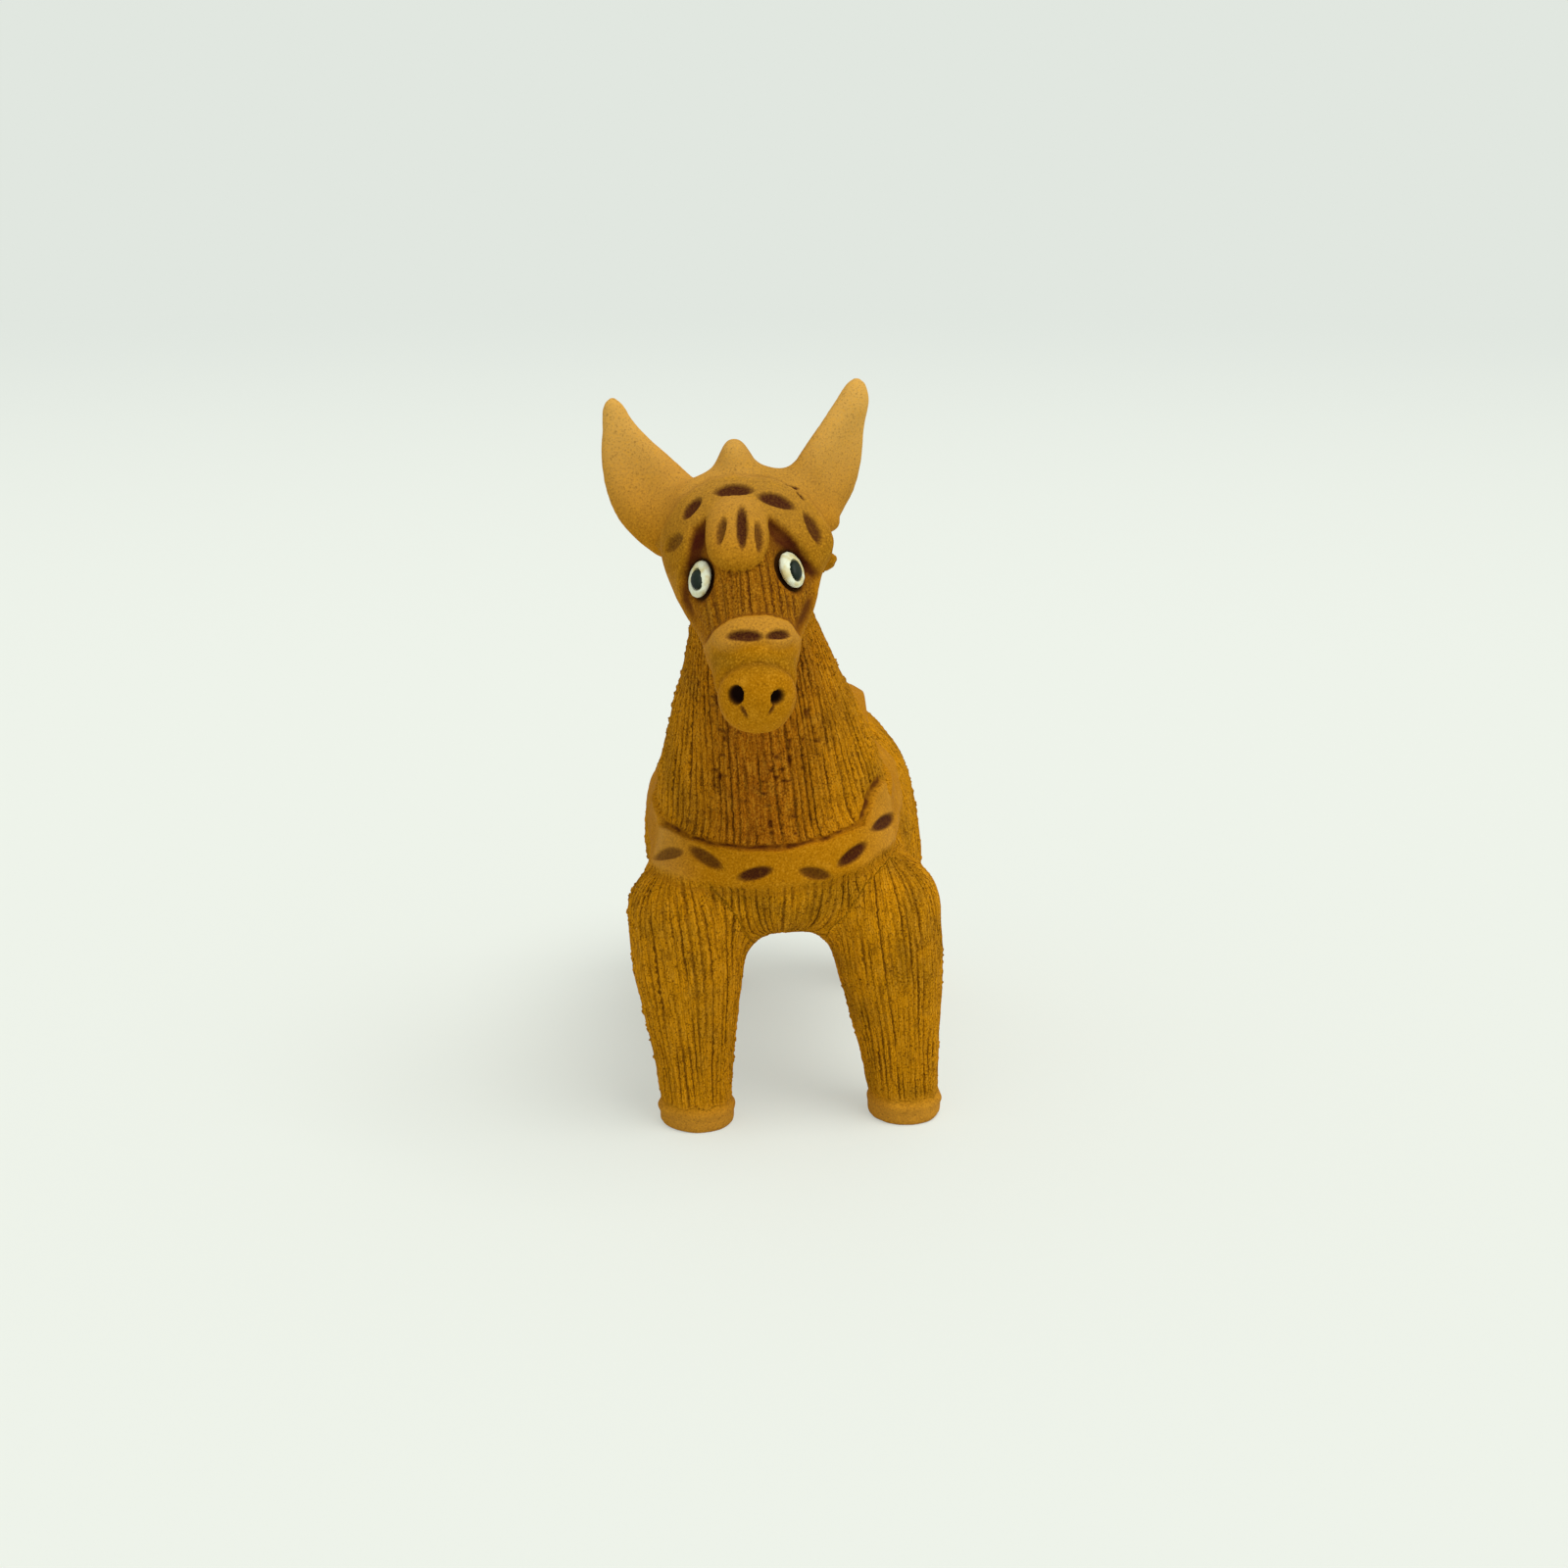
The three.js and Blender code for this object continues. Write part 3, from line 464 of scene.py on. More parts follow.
def modify(piece, kind, **settings):
    """Adds a modifier and makes its result the piece's mesh."""
    modifier = piece.modifiers.new(kind.lower(), kind)
    for key, value in settings.items():
        setattr(modifier, key, value)
    graph = bpy.context.evaluated_depsgraph_get()
    mesh = bpy.data.meshes.new_from_object(piece.evaluated_get(graph))
    piece.modifiers.clear()
    old = piece.data
    piece.data = mesh
    bpy.data.meshes.remove(old)
    mesh.name = piece.name


def remesh(piece, voxel):
    modify(piece, "REMESH", mode="VOXEL", voxel_size=voxel, use_smooth_shade=True)


def smooth(piece, rounds):
    modify(piece, "SMOOTH", factor=SMOOTHING_STEP, iterations=rounds)


def swell(piece, distance):
    modify(piece, "DISPLACE", strength=distance, mid_level=0)


def vectors_of(items, field):
    values = np.empty(3 * len(items), np.float32)
    items.foreach_get(field, values)
    return values.reshape(-1, 3).astype(float)


def points_of(piece):
    return vectors_of(piece.data.vertices, "co")


def node_points(name):
    return points_of(frame["nodes"][name])


def attribute_of(piece, name):
    attribute = piece.data.attributes[name]
    values = np.empty(len(attribute.data), np.float32)
    attribute.data.foreach_get("value", values)
    return values.astype(float)


def set_attribute(piece, name, values):
    attribute = piece.data.attributes.new(name, "FLOAT", "POINT")
    attribute.data.foreach_set("value", values.astype(np.float32))


def tree_of(mesh):
    shape = bmesh.new()
    shape.from_mesh(mesh)
    tree = BVHTree.FromBMesh(shape)
    shape.free()
    return tree


def distance_to(piece, points, reach):
    """How far each point is from a piece, up to the reach."""
    shape = points_of(piece)
    low, high = extent(shape)
    near = np.all((points > low - reach) & (points < high + reach), axis=1)
    distances = np.full(len(points), reach)
    tree = tree_of(piece.data)
    for index in np.flatnonzero(near):
        found = tree.find_nearest(points[index], reach)
        if found[0] is not None:
            distances[index] = found[3]
    return distances


def middle_of(name):
    low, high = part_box(name)
    return (low + high) / 2


def ramp(values, start, end):
    """Smoothly from 0 at start to 1 at end."""
    share = np.clip((values - start) / (end - start), 0, 1)
    return share * share * (3 - 2 * share)


def fade(values, start, end):
    """Smoothly from 1 at start to 0 at end."""
    return 1 - ramp(values, start, end)


def bell(values, middle, width):
    """1 at the middle, falling to 0 on both sides."""
    return np.exp(-np.square((values - middle) / width))


def extent(places):
    return places.min(axis=0), places.max(axis=0)


def lumps(points, size, seed):
    """Smooth noise from -1 to 1 with lumps of the given size."""
    scaled = points / size
    cell = np.floor(scaled).astype(np.int64)
    share = scaled - cell
    share = share * share * (3 - 2 * share)
    total = np.zeros(len(points))
    for corner in np.ndindex(2, 2, 2):
        x, y, z = ((cell + np.array(corner)) * np.array(PLACE_PRIMES)).T
        mixed = x ^ y ^ z ^ seed * SEED_PRIME
        mixed = (mixed ^ (mixed >> 13)) * MIX_PRIME
        value = ((mixed ^ (mixed >> 16)) & 0xFFFF) / 32767.5 - 1
        total += value * np.prod(np.where(corner, share, 1 - share), axis=1)
    return total


# The joined skin

def trunk_hull():
    """The trunk without its hollow."""
    shape = bmesh.new()
    for point in node_points("trunk"):
        shape.verts.new(point)
    hull = bmesh.ops.convex_hull(shape, input=shape.verts)
    bmesh.ops.delete(shape, geom=hull["geom_interior"], context="VERTS")
    return shape


def join_shape(skin, shape, rounds):
    """Joins one more shape to a skin and rounds the joint."""
    shape.from_mesh(skin.data)
    shape.to_mesh(skin.data)
    shape.free()
    swell(skin, JOIN_SWELL)
    remesh(skin, SKIN_VOXEL)
    keep_largest(skin)
    smooth(skin, rounds)


def fill_joints(skin, radius, rounds):
    """Fills the creases between the joined lumps by swelling the skin and shrinking it back."""
    for distance in (radius, -radius):
        swell(skin, distance)
        remesh(skin, SKIN_VOXEL)
        keep_largest(skin)
    smooth(skin, rounds)


def keep_largest(piece):
    """Deletes every loose part of a mesh but the largest."""
    shape = bmesh.new()
    shape.from_mesh(piece.data)
    unseen = set(shape.verts)
    parts = []
    while unseen:
        part = [unseen.pop()]
        for vertex in part:
            found = [edge.other_vert(vertex) for edge in vertex.link_edges]
            found = [other for other in found if other in unseen]
            unseen.difference_update(found)
            part.extend(found)
        parts.append(part)
    parts.sort(key=len)
    loose = [vertex for part in parts[:-1] for vertex in part]
    bmesh.ops.delete(shape, geom=loose, context="VERTS")
    shape.to_mesh(piece.data)
    shape.free()


def join_skin():
    """Joins the body's lumps and the head's, then both, and keeps how near each lump is."""
    skin = add_object("skin", trunk_hull())
    join_shape(skin, node_bmesh("neck", *LEGS), JOIN_SMOOTHING)
    fill_joints(skin, BODY_FILL, BODY_SMOOTHING)
    head_skin = add_object("head_skin", node_bmesh("head"))
    join_shape(head_skin, node_bmesh("mane", *EARS), JOIN_SMOOTHING)
    fill_joints(head_skin, HEAD_FILL, HEAD_SMOOTHING)
    swell(head_skin, -HEAD_TRIM)
    head_shape = bmesh.new()
    head_shape.from_mesh(head_skin.data)
    bpy.data.objects.remove(head_skin)
    head_shape.from_mesh(frame["nodes"]["nose"].data)
    join_shape(skin, head_shape, JOIN_SMOOTHING)
    join_shape(skin, node_bmesh(*LUTED), SKIN_SMOOTHING)
    points = points_of(skin)
    for name in LUMPS:
        set_attribute(skin, f"near_{name}", distance_to(frame["nodes"][name], points, OWNER_REACH))
    modify(skin, "SUBSURF", levels=1, render_levels=1)
    return skin


class Clay:
    """The points of the skin while they are worked."""

    def __init__(self, skin):
        self.skin = skin
        self.near = np.array([attribute_of(skin, f"near_{name}") for name in LUMPS])
        self.owner = self.near.argmin(axis=0)
        self.tints = {}
        ends = np.empty(2 * len(skin.data.edges), np.int32)
        skin.data.edges.foreach_get("vertices", ends)
        self.ends = ends.reshape(-1, 2)
        self.read()

    def read(self):
        self.points = points_of(self.skin)
        self.normals = vectors_of(self.skin.data.vertices, "normal")

    def move(self, offsets):
        self.points += offsets
        self.points[:, 2] = np.maximum(self.points[:, 2], 0)
        self.skin.data.vertices.foreach_set("co", self.points.astype(np.float32).ravel())
        self.skin.data.update()
        self.read()

    def push(self, heights):
        self.move(self.normals * heights[:, None])

    def relax(self, share, rounds):
        """Evens out the points, each by its share."""
        first, second = self.ends.T
        count = len(self.points)
        links = np.bincount(first, minlength=count) + np.bincount(second, minlength=count)
        points = self.points.copy()
        for _ in range(rounds):
            for column in points.T:
                total = np.bincount(first, column[second], count)
                total += np.bincount(second, column[first], count)
                column += share * SMOOTHING_STEP * (total / links - column)
        self.move(points - self.points)

    def give(self, name, where):
        """Makes the points under a mask belong to a node."""
        self.owner[where] = OWNERS.index(name)

    def owned(self, names):
        return np.isin(self.owner, [OWNERS.index(name) for name in names])

    def nearness(self, name):
        return self.near[LUMPS.index(name)]

    def tint(self, name, values):
        """Keeps the stronger of the old and new values of a colour attribute."""
        self.tints[name] = np.maximum(self.tints.get(name, 0), values)


# Straps, the forelock, the eye sockets, the nose and the hooves

def head_places(points):
    """Points in the head's frame: across it, up towards the poll and out of the face."""
    turned = Matrix.Rotation(-HEAD_ROLL, 3, "Y") @ Matrix.Rotation(HEAD_PITCH, 3, "X")
    return (points - np.array(middle_of("head"))) @ np.array(turned)


def photo_places(points):
    """Where points show in the photograph, in its pixels."""
    x, y, z = ((points - np.array(CAMERA_PLACE)) @ np.array(camera_turn())).T
    column = IMAGE_SIZE / 2 - FOCAL_PIXELS * x / z
    row = IMAGE_SIZE / 2 + FOCAL_PIXELS * y / z
    return np.stack([column, row], axis=1)


def line_gaps(places, line):
    """How far each place is from a line through some points."""
    nearest = np.full(len(places), np.inf)
    for start, end in zip(np.array(line[:-1]), np.array(line[1:])):
        run = end - start
        share = np.clip((places - start) @ run / (run @ run), 0, 1)
        nearest = np.minimum(nearest, np.linalg.norm(places - start - np.outer(share, run), axis=1))
    return nearest


def within(places, outline):
    """True for the places inside a closed outline."""
    inside = np.zeros(len(places), bool)
    for (u, v), (next_u, next_v) in zip(outline, outline[1:] + outline[:1]):
        if v != next_v:
            crossing = u + (places[:, 1] - v) * (next_u - u) / (next_v - v)
            inside ^= ((v > places[:, 1]) != (next_v > places[:, 1])) & (places[:, 0] < crossing)
    return inside


def facing_camera(clay, start, end):
    """1 where the photograph shows the skin well, 0 where it turns away."""
    toward = np.array(CAMERA_PLACE) - clay.points
    return ramp(np.sum(clay.normals * toward, axis=1) / np.linalg.norm(toward, axis=1), start, end)


def outline_gap(clay, outline):
    """How far each point shows outside an outline of the photograph, negative inside it."""
    places = photo_places(clay.points)
    gap = line_gaps(places, outline + outline[:1]) * PIXEL
    return np.where(within(places, outline), -gap, gap) + STRAP_WAVER * lumps(clay.points, *STRAP_NOISE)


def line_along(gap, middle, start, end):
    """1 along a line beside an outline, 0 away from it."""
    return fade(np.abs(gap - middle), start, end)


def highest(*heights):
    """The highest of some heights, rounded where they cross."""
    return sum(height ** CROSSING_POWER for height in heights) ** (1 / CROSSING_POWER)


def noseband_span():
    """The noseband's lower and upper edge in the head's frame."""
    low, high = extent(head_places(node_points("noseband")))
    return low[1], high[1]


class Face:
    """The front of the head and the straps on it, as the photograph shows them."""

    def __init__(self, clay):
        places = head_places(clay.points)
        self.on_head = clay.nearness("head") < OWNER_REACH
        self.front = facing_camera(clay, *FACE_TURN) * (places[:, 2] > FACE_BACK) * self.on_head
        self.muzzle = fade(places[:, 1], *noseband_span())
        self.pixels = photo_places(clay.points)
        self.column, self.row = self.pixels.T
        self.gap = outline_gap(clay, FACE_OUTLINE)
        self.poll = outline_gap(clay, BROW_OUTLINE)
        self.noseband = self.noseband_share()
        self.forelock = self.forelock_share()
        self.above = ramp(self.row, *UNDER_BROW_ROWS)
        self.beside_lock = fade(self.forelock, *FORELOCK_FOOT)
        inside = np.exp(np.minimum(self.gap, 0) / BROW_FADE) * fade(self.gap, *BROW_EDGE)
        self.under_brow = inside * self.front * self.above * self.beside_lock

    def noseband_share(self):
        """1 along the noseband's crest, 0 beyond its edges."""
        reach = NOSEBAND_HALF + NOSEBAND_DROOP * ramp(self.row, *DROOP_ROWS)
        return fade(line_gaps(self.pixels, NOSEBAND_LINE) / reach, *NOSEBAND_CREST) * self.front

    def forelock_share(self):
        """1 at the forelock's middle, 0 at its edge."""
        share = np.abs((self.pixels - FORELOCK_MIDDLE) / FORELOCK_HALF) ** FORELOCK_SQUARENESS
        return np.clip(1 - share.sum(axis=1), 0, 1) ** FORELOCK_DOME * self.front


def raise_bridle(clay, eyes):
    """Raises the straps and the forelock, and sinks the eye sockets and the crease around the nose."""
    face = Face(clay)
    straps = np.array([distance_to(frame["nodes"][name], clay.points, OWNER_REACH) for name in BRIDLE])
    nearest = straps.min(axis=0)
    beside = fade(nearest, STRAP_EDGE, STRAP_EDGE + STRAP_SLOPE)
    rise = strap_rise(face, nearest, beside)
    heights = highest(rise, NOSEBAND_RISE * face.noseband, FORELOCK_RISE * face.forelock)
    give_bridle(clay, face, straps, beside, rise)
    tint_straps(clay, face)
    heights -= BROW_GAP * face.under_brow
    for eye in eyes:
        heights -= eye_socket(clay, eye)
    heights -= nose_crease(clay)
    tint_face(clay, face)
    clay.push(heights)
    clay.relax(face.front, STRAP_RELAX)


def strap_rise(face, nearest, beside):
    """How far the straps rise, by the photograph in front and by the frame's straps elsewhere."""
    fading = bell(np.maximum(nearest, STRAP_EDGE), STRAP_EDGE, STRAP_FADE) * (nearest < OWNER_REACH)
    aside = np.maximum(beside, fading * POLL_RISE)
    crest = 1 - (1 - POLL_RISE) * ramp(face.poll, *POLL_EDGE)
    ahead = ramp(face.gap, *FACE_EDGE) * crest * fade(face.gap, *CHEEK_END)
    rise = face.front * ahead + (1 - face.front) * aside
    return rise * (STRAP_RISE * (1 - (1 - MUZZLE_RISE) * face.muzzle) * face.on_head)


def give_bridle(clay, face, straps, beside, rise):
    """Makes the raised points belong to the bridle's pieces."""
    nearest = straps.min(axis=0)
    shown = (face.gap > 0) & (face.gap < STRAP_WIDTH) & (face.poll < 0) & (face.muzzle < 0.5)
    on_strap = np.where(face.front > 0.5, shown, beside > 0.5)
    for name, gap in zip(BRIDLE, straps):
        clay.give(name, on_strap & (gap == nearest) & (nearest < OWNER_REACH))
    clay.give("bridle_knot", clay.nearness("bridle_knot") < KNOT_REACH)
    clay.give("noseband", face.noseband > NOSEBAND_OWNS)
    clay.give("forelock", (face.forelock > FORELOCK_OWNS) & (FORELOCK_RISE * face.forelock > rise))


def tint_straps(clay, face):
    """Paints shade along the edges of the straps and under the brow, and a highlight along the cheek
    straps.
    """
    clay.tint("recess_shade", POLL_RECESS * face.front * line_along(face.poll, *POLL_LINE))
    # Painted shade along the inner edges of the straps and under the brow
    edge = line_along(face.gap, *FACE_LINE) * face.front * face.beside_lock
    aside = ramp(np.abs(face.column - FACE_COLUMN), *CHEEK_COLUMNS) * (1 - face.above)
    under_brow = np.minimum(face.under_brow * BROW_RECESS, 1)
    clay.tint("recess_shade", np.maximum(edge * (FACE_RECESS + CHEEK_RECESS * aside), under_brow))
    # Painted highlight along the cheek straps
    cheek = ramp(face.gap, *CHEEK_PALE_START) * fade(face.gap, *CHEEK_PALE_END)
    cheek *= face.front * (1 - face.above)
    clay.tint("pale_and_painted_light", CHEEK_PALE * cheek * (1 - face.muzzle))


def eye_socket(clay, eye):
    """Paints shade on the clay around an eye, and says how deep it is sunk there."""
    gap = distance_to(eye, clay.points, SOCKET_REACH)
    clay.tint("pit_shade", SOCKET_DARK * fade(gap, *SOCKET_PIT))
    clay.tint("recess_shade", SOCKET_RECESS * fade(gap, *SOCKET_SHADE))
    return SOCKET_DEPTH * fade(gap, *SOCKET_RIM)


def nose_crease(clay):
    """Paints shade into the crease around the nose, and says how deep it is."""
    gap = np.abs(clay.nearness("nose") - clay.nearness("head")) + clay.nearness("nose")
    crease = fade(gap, *CREASE_EDGE)
    clay.tint("recess_shade", crease * CREASE_RECESS)
    return CREASE_DEPTH * crease


def tint_face(clay, face):
    """Tints the open face, and paints a highlight on the noseband, the shadow below it and shade under
    the brow.
    """
    opened = fade(face.gap, *FACE_OPENING) * face.front
    clay.tint("face", opened * fade(face.forelock, *FORELOCK_EDGE) * fade(face.noseband, *NOSEBAND_EDGE))
    # Painted highlight on the noseband
    clay.tint("pale_and_painted_light", NOSEBAND_PALE * face.noseband)
    # Painted shadow below the noseband and painted shade under the brow
    shadow = bell(face.row, SHADOW_ROW, SHADOW_HALF) * face.front * (1 - face.noseband)
    brow = face.front * ramp(face.row, *BROW_ROWS) * (1 - face.forelock) * fade(face.poll, *POLL_SHADE)
    clay.tint("olive_and_shade", np.maximum(SHADOW_OLIVE * shadow, BROW_OLIVE * brow))
    clay.tint("olive_and_shade", FACE_OLIVE * clay.tints["face"])


def raise_collar(clay):
    """Raises the collar by the photograph, or the frame's own behind, and says what is above it."""
    band = node_points("breast_collar")
    _, axes = np.linalg.eigh(np.cov(band.T))
    upward = axes[:, 0] * np.sign(axes[2, 0])
    low, high = extent(band @ upward)
    height = clay.points @ upward
    rear = band[:, 1].max()
    free = clay.owned(["trunk", "neck", *LEGS]) * ramp(rear - clay.points[:, 1], *COLLAR_END)
    front = facing_camera(clay, *COLLAR_TURN) * (clay.points[:, 1] < rear)
    gap = outline_gap(clay, COLLAR_OUTLINE)
    upper = height > (low + high) / 2
    shown = fade(gap, np.where(upper, COLLAR_UPPER_EDGE, COLLAR_LOWER_EDGE), COLLAR_OUTER_EDGE)
    hidden = ramp(high - height, *COLLAR_HIDDEN_UPPER) * ramp(height - low, *COLLAR_HIDDEN_LOWER)
    collar = (front * shown + (1 - front) * hidden) * free
    # Painted shade in the crack along the collar's edges
    crack = line_along(gap, *COLLAR_LINE) * front * free * (1 - collar)
    ragged = CRACK_DARK + CRACK_VARIES * lumps(clay.points, *CRACK_NOISE)
    clay.give("breast_collar", collar > 0.5)
    clay.tint("recess_shade", np.clip(crack * np.where(upper, ragged, LOWER_CRACK_DARK), 0, 1))
    clay.tint("bare", collar)
    # Painted light: the collar paler towards its ends, more on its right side
    for side, sign in (("left", 1), ("right", -1)):
        aside = ramp(sign * clay.points[:, 0], *COLLAR_SIDES)
        clay.tint("pale_and_painted_light", COLLAR_PALE[side] * collar * front * aside)
    clay.push(COLLAR_RISE * collar - CRACK_DEPTH * crack * upper)
    return upper & (free > 0)


def shape_hooves(clay):
    """Draws the hooves out to a rim above the ground."""
    z = clay.points[:, 2]
    profile = HOOF_RIM * bell(z, HOOF_RIM_HEIGHT, HOOF_RIM_HALF)
    profile -= HOOF_FOOT * bell(z, 0, HOOF_FOOT_HEIGHT)
    uneven = 1 + HOOF_UNEVEN * lumps(clay.points, *HOOF_NOISE)
    outward = clay.normals * [1, 1, 0]
    clay.move(outward * (profile * uneven)[:, None])


# Swellings and marks

def pixel_ray(u, v):
    """The direction that a pixel of the photograph looks along."""
    ray = Vector(((u - IMAGE_SIZE / 2) / FOCAL_PIXELS, (IMAGE_SIZE / 2 - v) / FOCAL_PIXELS, -1))
    return (camera_turn() @ ray).normalized()


def camera_turn():
    return Matrix.Rotation(math.pi / 2 - CAMERA_DOWN, 3, "X")


def swell_clay(clay):
    """Moves the clay out or in to the photograph's outline in a few places."""
    tree = tree_of(clay.skin.data)
    for pixel, *sizes in SWELLS:
        radius, right, outward = mm(*sizes)
        place = tree.ray_cast(CAMERA_PLACE, pixel_ray(*pixel))[0]
        share = bell(np.linalg.norm(clay.points - np.array(place), axis=1), 0, radius)
        clay.move(share[:, None] * (clay.normals * outward + np.array((right, 0, 0))))


def press_marks(clay):
    """Presses long or round marks into the skin and paints shade into them, or swells it where their
    depth is negative.
    """
    tree = tree_of(clay.skin.data)
    for pixel, slant, *sizes, darkness in MARKS:
        length, width, depth = mm(*sizes)
        ray = pixel_ray(*pixel)
        place, outward, _, _ = tree.ray_cast(CAMERA_PLACE, ray)
        turn = math.radians(slant)
        along = camera_turn() @ Vector((math.cos(turn), math.sin(turn), 0))
        along -= ray * along.dot(outward) / ray.dot(outward)
        length *= min(along.length, MOST_STRETCH)
        along.normalize()
        offset = clay.points - np.array(place)
        run = offset @ np.array(along) / (length / 2)
        side = offset @ np.array(outward.cross(along)) / (width / 2)
        room = np.clip(1 - run ** 2, 0, 1) ** MARK_TAPER
        near = fade(np.abs(offset @ np.array(outward)), *MARK_REACH)
        press = np.clip(room - side ** 2, 0, 1) ** MARK_FLATNESS * near
        clay.move(-np.outer(press * depth, np.array(outward)))
        clay.tint("mark_shade", np.clip(press * MARK_TINT, 0, 1) * min(darkness, 1))
        clay.tint("pit_shade", np.clip(press * PIT_TINT, 0, 1) * max(darkness - 1, 0))


# Comb marks

def comb_strokes(across, along, seed):
    """Uneven comb strokes: the place among the teeth, and how deep each is."""
    flat = np.stack([across, along, np.zeros_like(across)], axis=1)
    drift = np.zeros_like(across)
    for distance, size, step in COMB_DRIFTS:
        drift += distance * lumps(flat / np.array(size), MM, seed + step)
    tooth = (across + COMB_TILT * along + drift) / COMB_PITCH + FIRST_TOOTH
    apart = np.floor(tooth) * TOOTH_SPREAD
    line = np.stack([apart, along / STROKE_LENGTH, np.full_like(tooth, seed)], axis=1)
    return tooth, np.clip(STROKE_DEPTH + STROKE_VARIES * lumps(line, 1, seed), LEAST_STROKE, 1)


def around_limb(name, points):
    """Places around and along an upright limb, with the seam at its back."""
    shape = node_points(name)
    slope, start = np.polyfit(shape[:, 2], shape[:, :2], 1)
    offset = points[:, :2] - (points[:, 2:] * slope + start)
    radius = np.median(np.hypot(*offset.T))
    return np.arctan2(offset[:, 0], -offset[:, 1]) * radius, points[:, 2]


def around_trunk(points):
    """Places around the barrel in plan, with upright strokes."""
    low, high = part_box("trunk")
    half = (high.x - low.x) / 2
    front = low.y + half / END_FLATNESS
    back = high.y - half / END_FLATNESS
    x = points[:, 0] - (low.x + high.x) / 2
    y = points[:, 1]
    ahead = np.clip(front - y, 0, None) * END_FLATNESS
    behind = np.clip(y - back, 0, None) * END_FLATNESS
    quarter = half * math.pi / 2
    flank = np.clip(y, front, back) - front
    turned = np.arctan2(np.abs(x), ahead) * half
    rump = np.arctan2(behind, np.abs(x)) * half
    place = np.where(y < front, turned, quarter + flank + rump)
    return np.sign(x) * place, points[:, 2]


def comb_places(name, points):
    """Places across and along the comb's strokes on a lump."""
    if name == "trunk":
        return around_trunk(points)
    if name == "head":
        places = head_places(points)
        return places[:, 0], places[:, 1]
    return around_limb(name, points)


def bare_clay(clay):
    """1 where the clay isn't combed: the head around the face, the poll, the collar and the soles."""
    points = clay.points
    not_face = 1 - clay.tints["face"]
    on_head = clay.nearness("head") < np.minimum(BARE_HEAD, clay.nearness("neck"))
    soles = points[:, 2] + SOLE_WAVER * lumps(points, *SOLE_NOISE)
    bare = np.maximum(on_head * not_face, fade(soles, *BARE_SOLES))
    bare = np.maximum(bare, ramp(points[:, 2], *BARE_POLL) * not_face)
    bare = np.maximum(bare, fade(clay.nearness("bridle_knot"), *BARE_KNOT))
    return np.maximum(bare, clay.tints["bare"])


def groove_profile(tooth, half):
    """1 in the middle of each groove, 0 beyond its edges."""
    return np.clip(1 - np.square((tooth % 1 - 0.5) / half), 0, 1)


def comb_skin(clay, above_collar):
    """Presses the comb marks into the skin and keeps them for the colours."""
    weights = np.exp(-(clay.near - clay.near.min(axis=0)) / LIMB_BLEND)
    weights /= weights.sum(axis=0)
    leader = weights.argmax(axis=0)
    leader[above_collar & clay.owned(["trunk", *LEGS])] = LUMPS.index("neck")
    tooth, stroke, combed, run = np.zeros((4, len(clay.points)))
    for seed, name in enumerate(LUMPS):
        if name in COMBED:
            used = leader == seed
            across, run[used] = comb_places(name, clay.points[used])
            tooth[used], stroke[used] = comb_strokes(across, run[used], seed)
            combed += weights[seed]
    combed *= 1 - bare_clay(clay)
    clay.tint("bare", 1 - combed)
    combed *= (1 - clay.tints["mark_shade"]) * (1 - clay.tints["pit_shade"])
    combed *= 1 - np.minimum(clay.tints["recess_shade"] * RECESS_UNCOMBED, 1)
    stroke *= 1 - FACE_EASE * clay.tints["face"]
    stroke[clay.ends[np.abs(np.diff(tooth[clay.ends], axis=1)[:, 0]) > COMB_SEAM]] = 0
    groove = groove_profile(tooth, COMB_GROOVE) * stroke * combed
    fine = groove_profile(tooth * FINE_PER_TOOTH, FINE_GROOVE) * combed
    torn = torn_clay(clay) * combed
    # Painted shade in the torn pits of the breast
    clay.tint("recess_shade", np.minimum(torn * TEAR_RECESS, TEAR_RECESS_MOST))
    rough = crumbs(clay.points) * combed + dents(clay.points)
    clay.push(rough - COMB_DEPTH * groove - FINE_DEPTH * fine - TEAR_DEPTH * torn)
    clay.tint("tooth", tooth)
    clay.tint("run", run / MM)
    clay.tint("stroke", stroke * combed)
    clay.tint("combed", combed)


def torn_clay(clay):
    """How far the breast is torn, in patches."""
    torn = np.clip(lumps(clay.points * TEAR_STRETCH, *TEAR_NOISE) - TEAR_LEVEL, 0, TEAR_MOST)
    return torn * breast_share(clay) * ramp(lumps(clay.points, *TEAR_PATCH_NOISE), *TEAR_PATCH)


def crumbs(points):
    """Heights of the crumbs, which are higher in some patches."""
    heights = np.clip(lumps(points, *CRUMB_NOISE) - CRUMB_LEVEL, 0, None) * CRUMB_HEIGHT
    return heights * (1 + CRUMB_PATCH_GAIN * (lumps(points, *CRUMB_PATCH_NOISE) > CRUMB_PATCH_LEVEL))


def dents(points):
    """Heights of the clay's unevenness, large and small."""
    return DENT_DEPTH * lumps(points, *DENT_NOISE) + SMALL_DENT_DEPTH * lumps(points, *SMALL_DENT_NOISE)


def breast_share(clay):
    """1 in the middle of the breast, 0 away from it."""
    x, y, z = clay.points.T
    share = bell(x, BREAST_MIDDLE, BREAST_HALF) * clay.owned(["neck", "trunk"])
    return share * ramp(z, *BREAST_BOTTOM) * fade(z, *BREAST_TOP) * ramp(-y, *BREAST_FRONT)


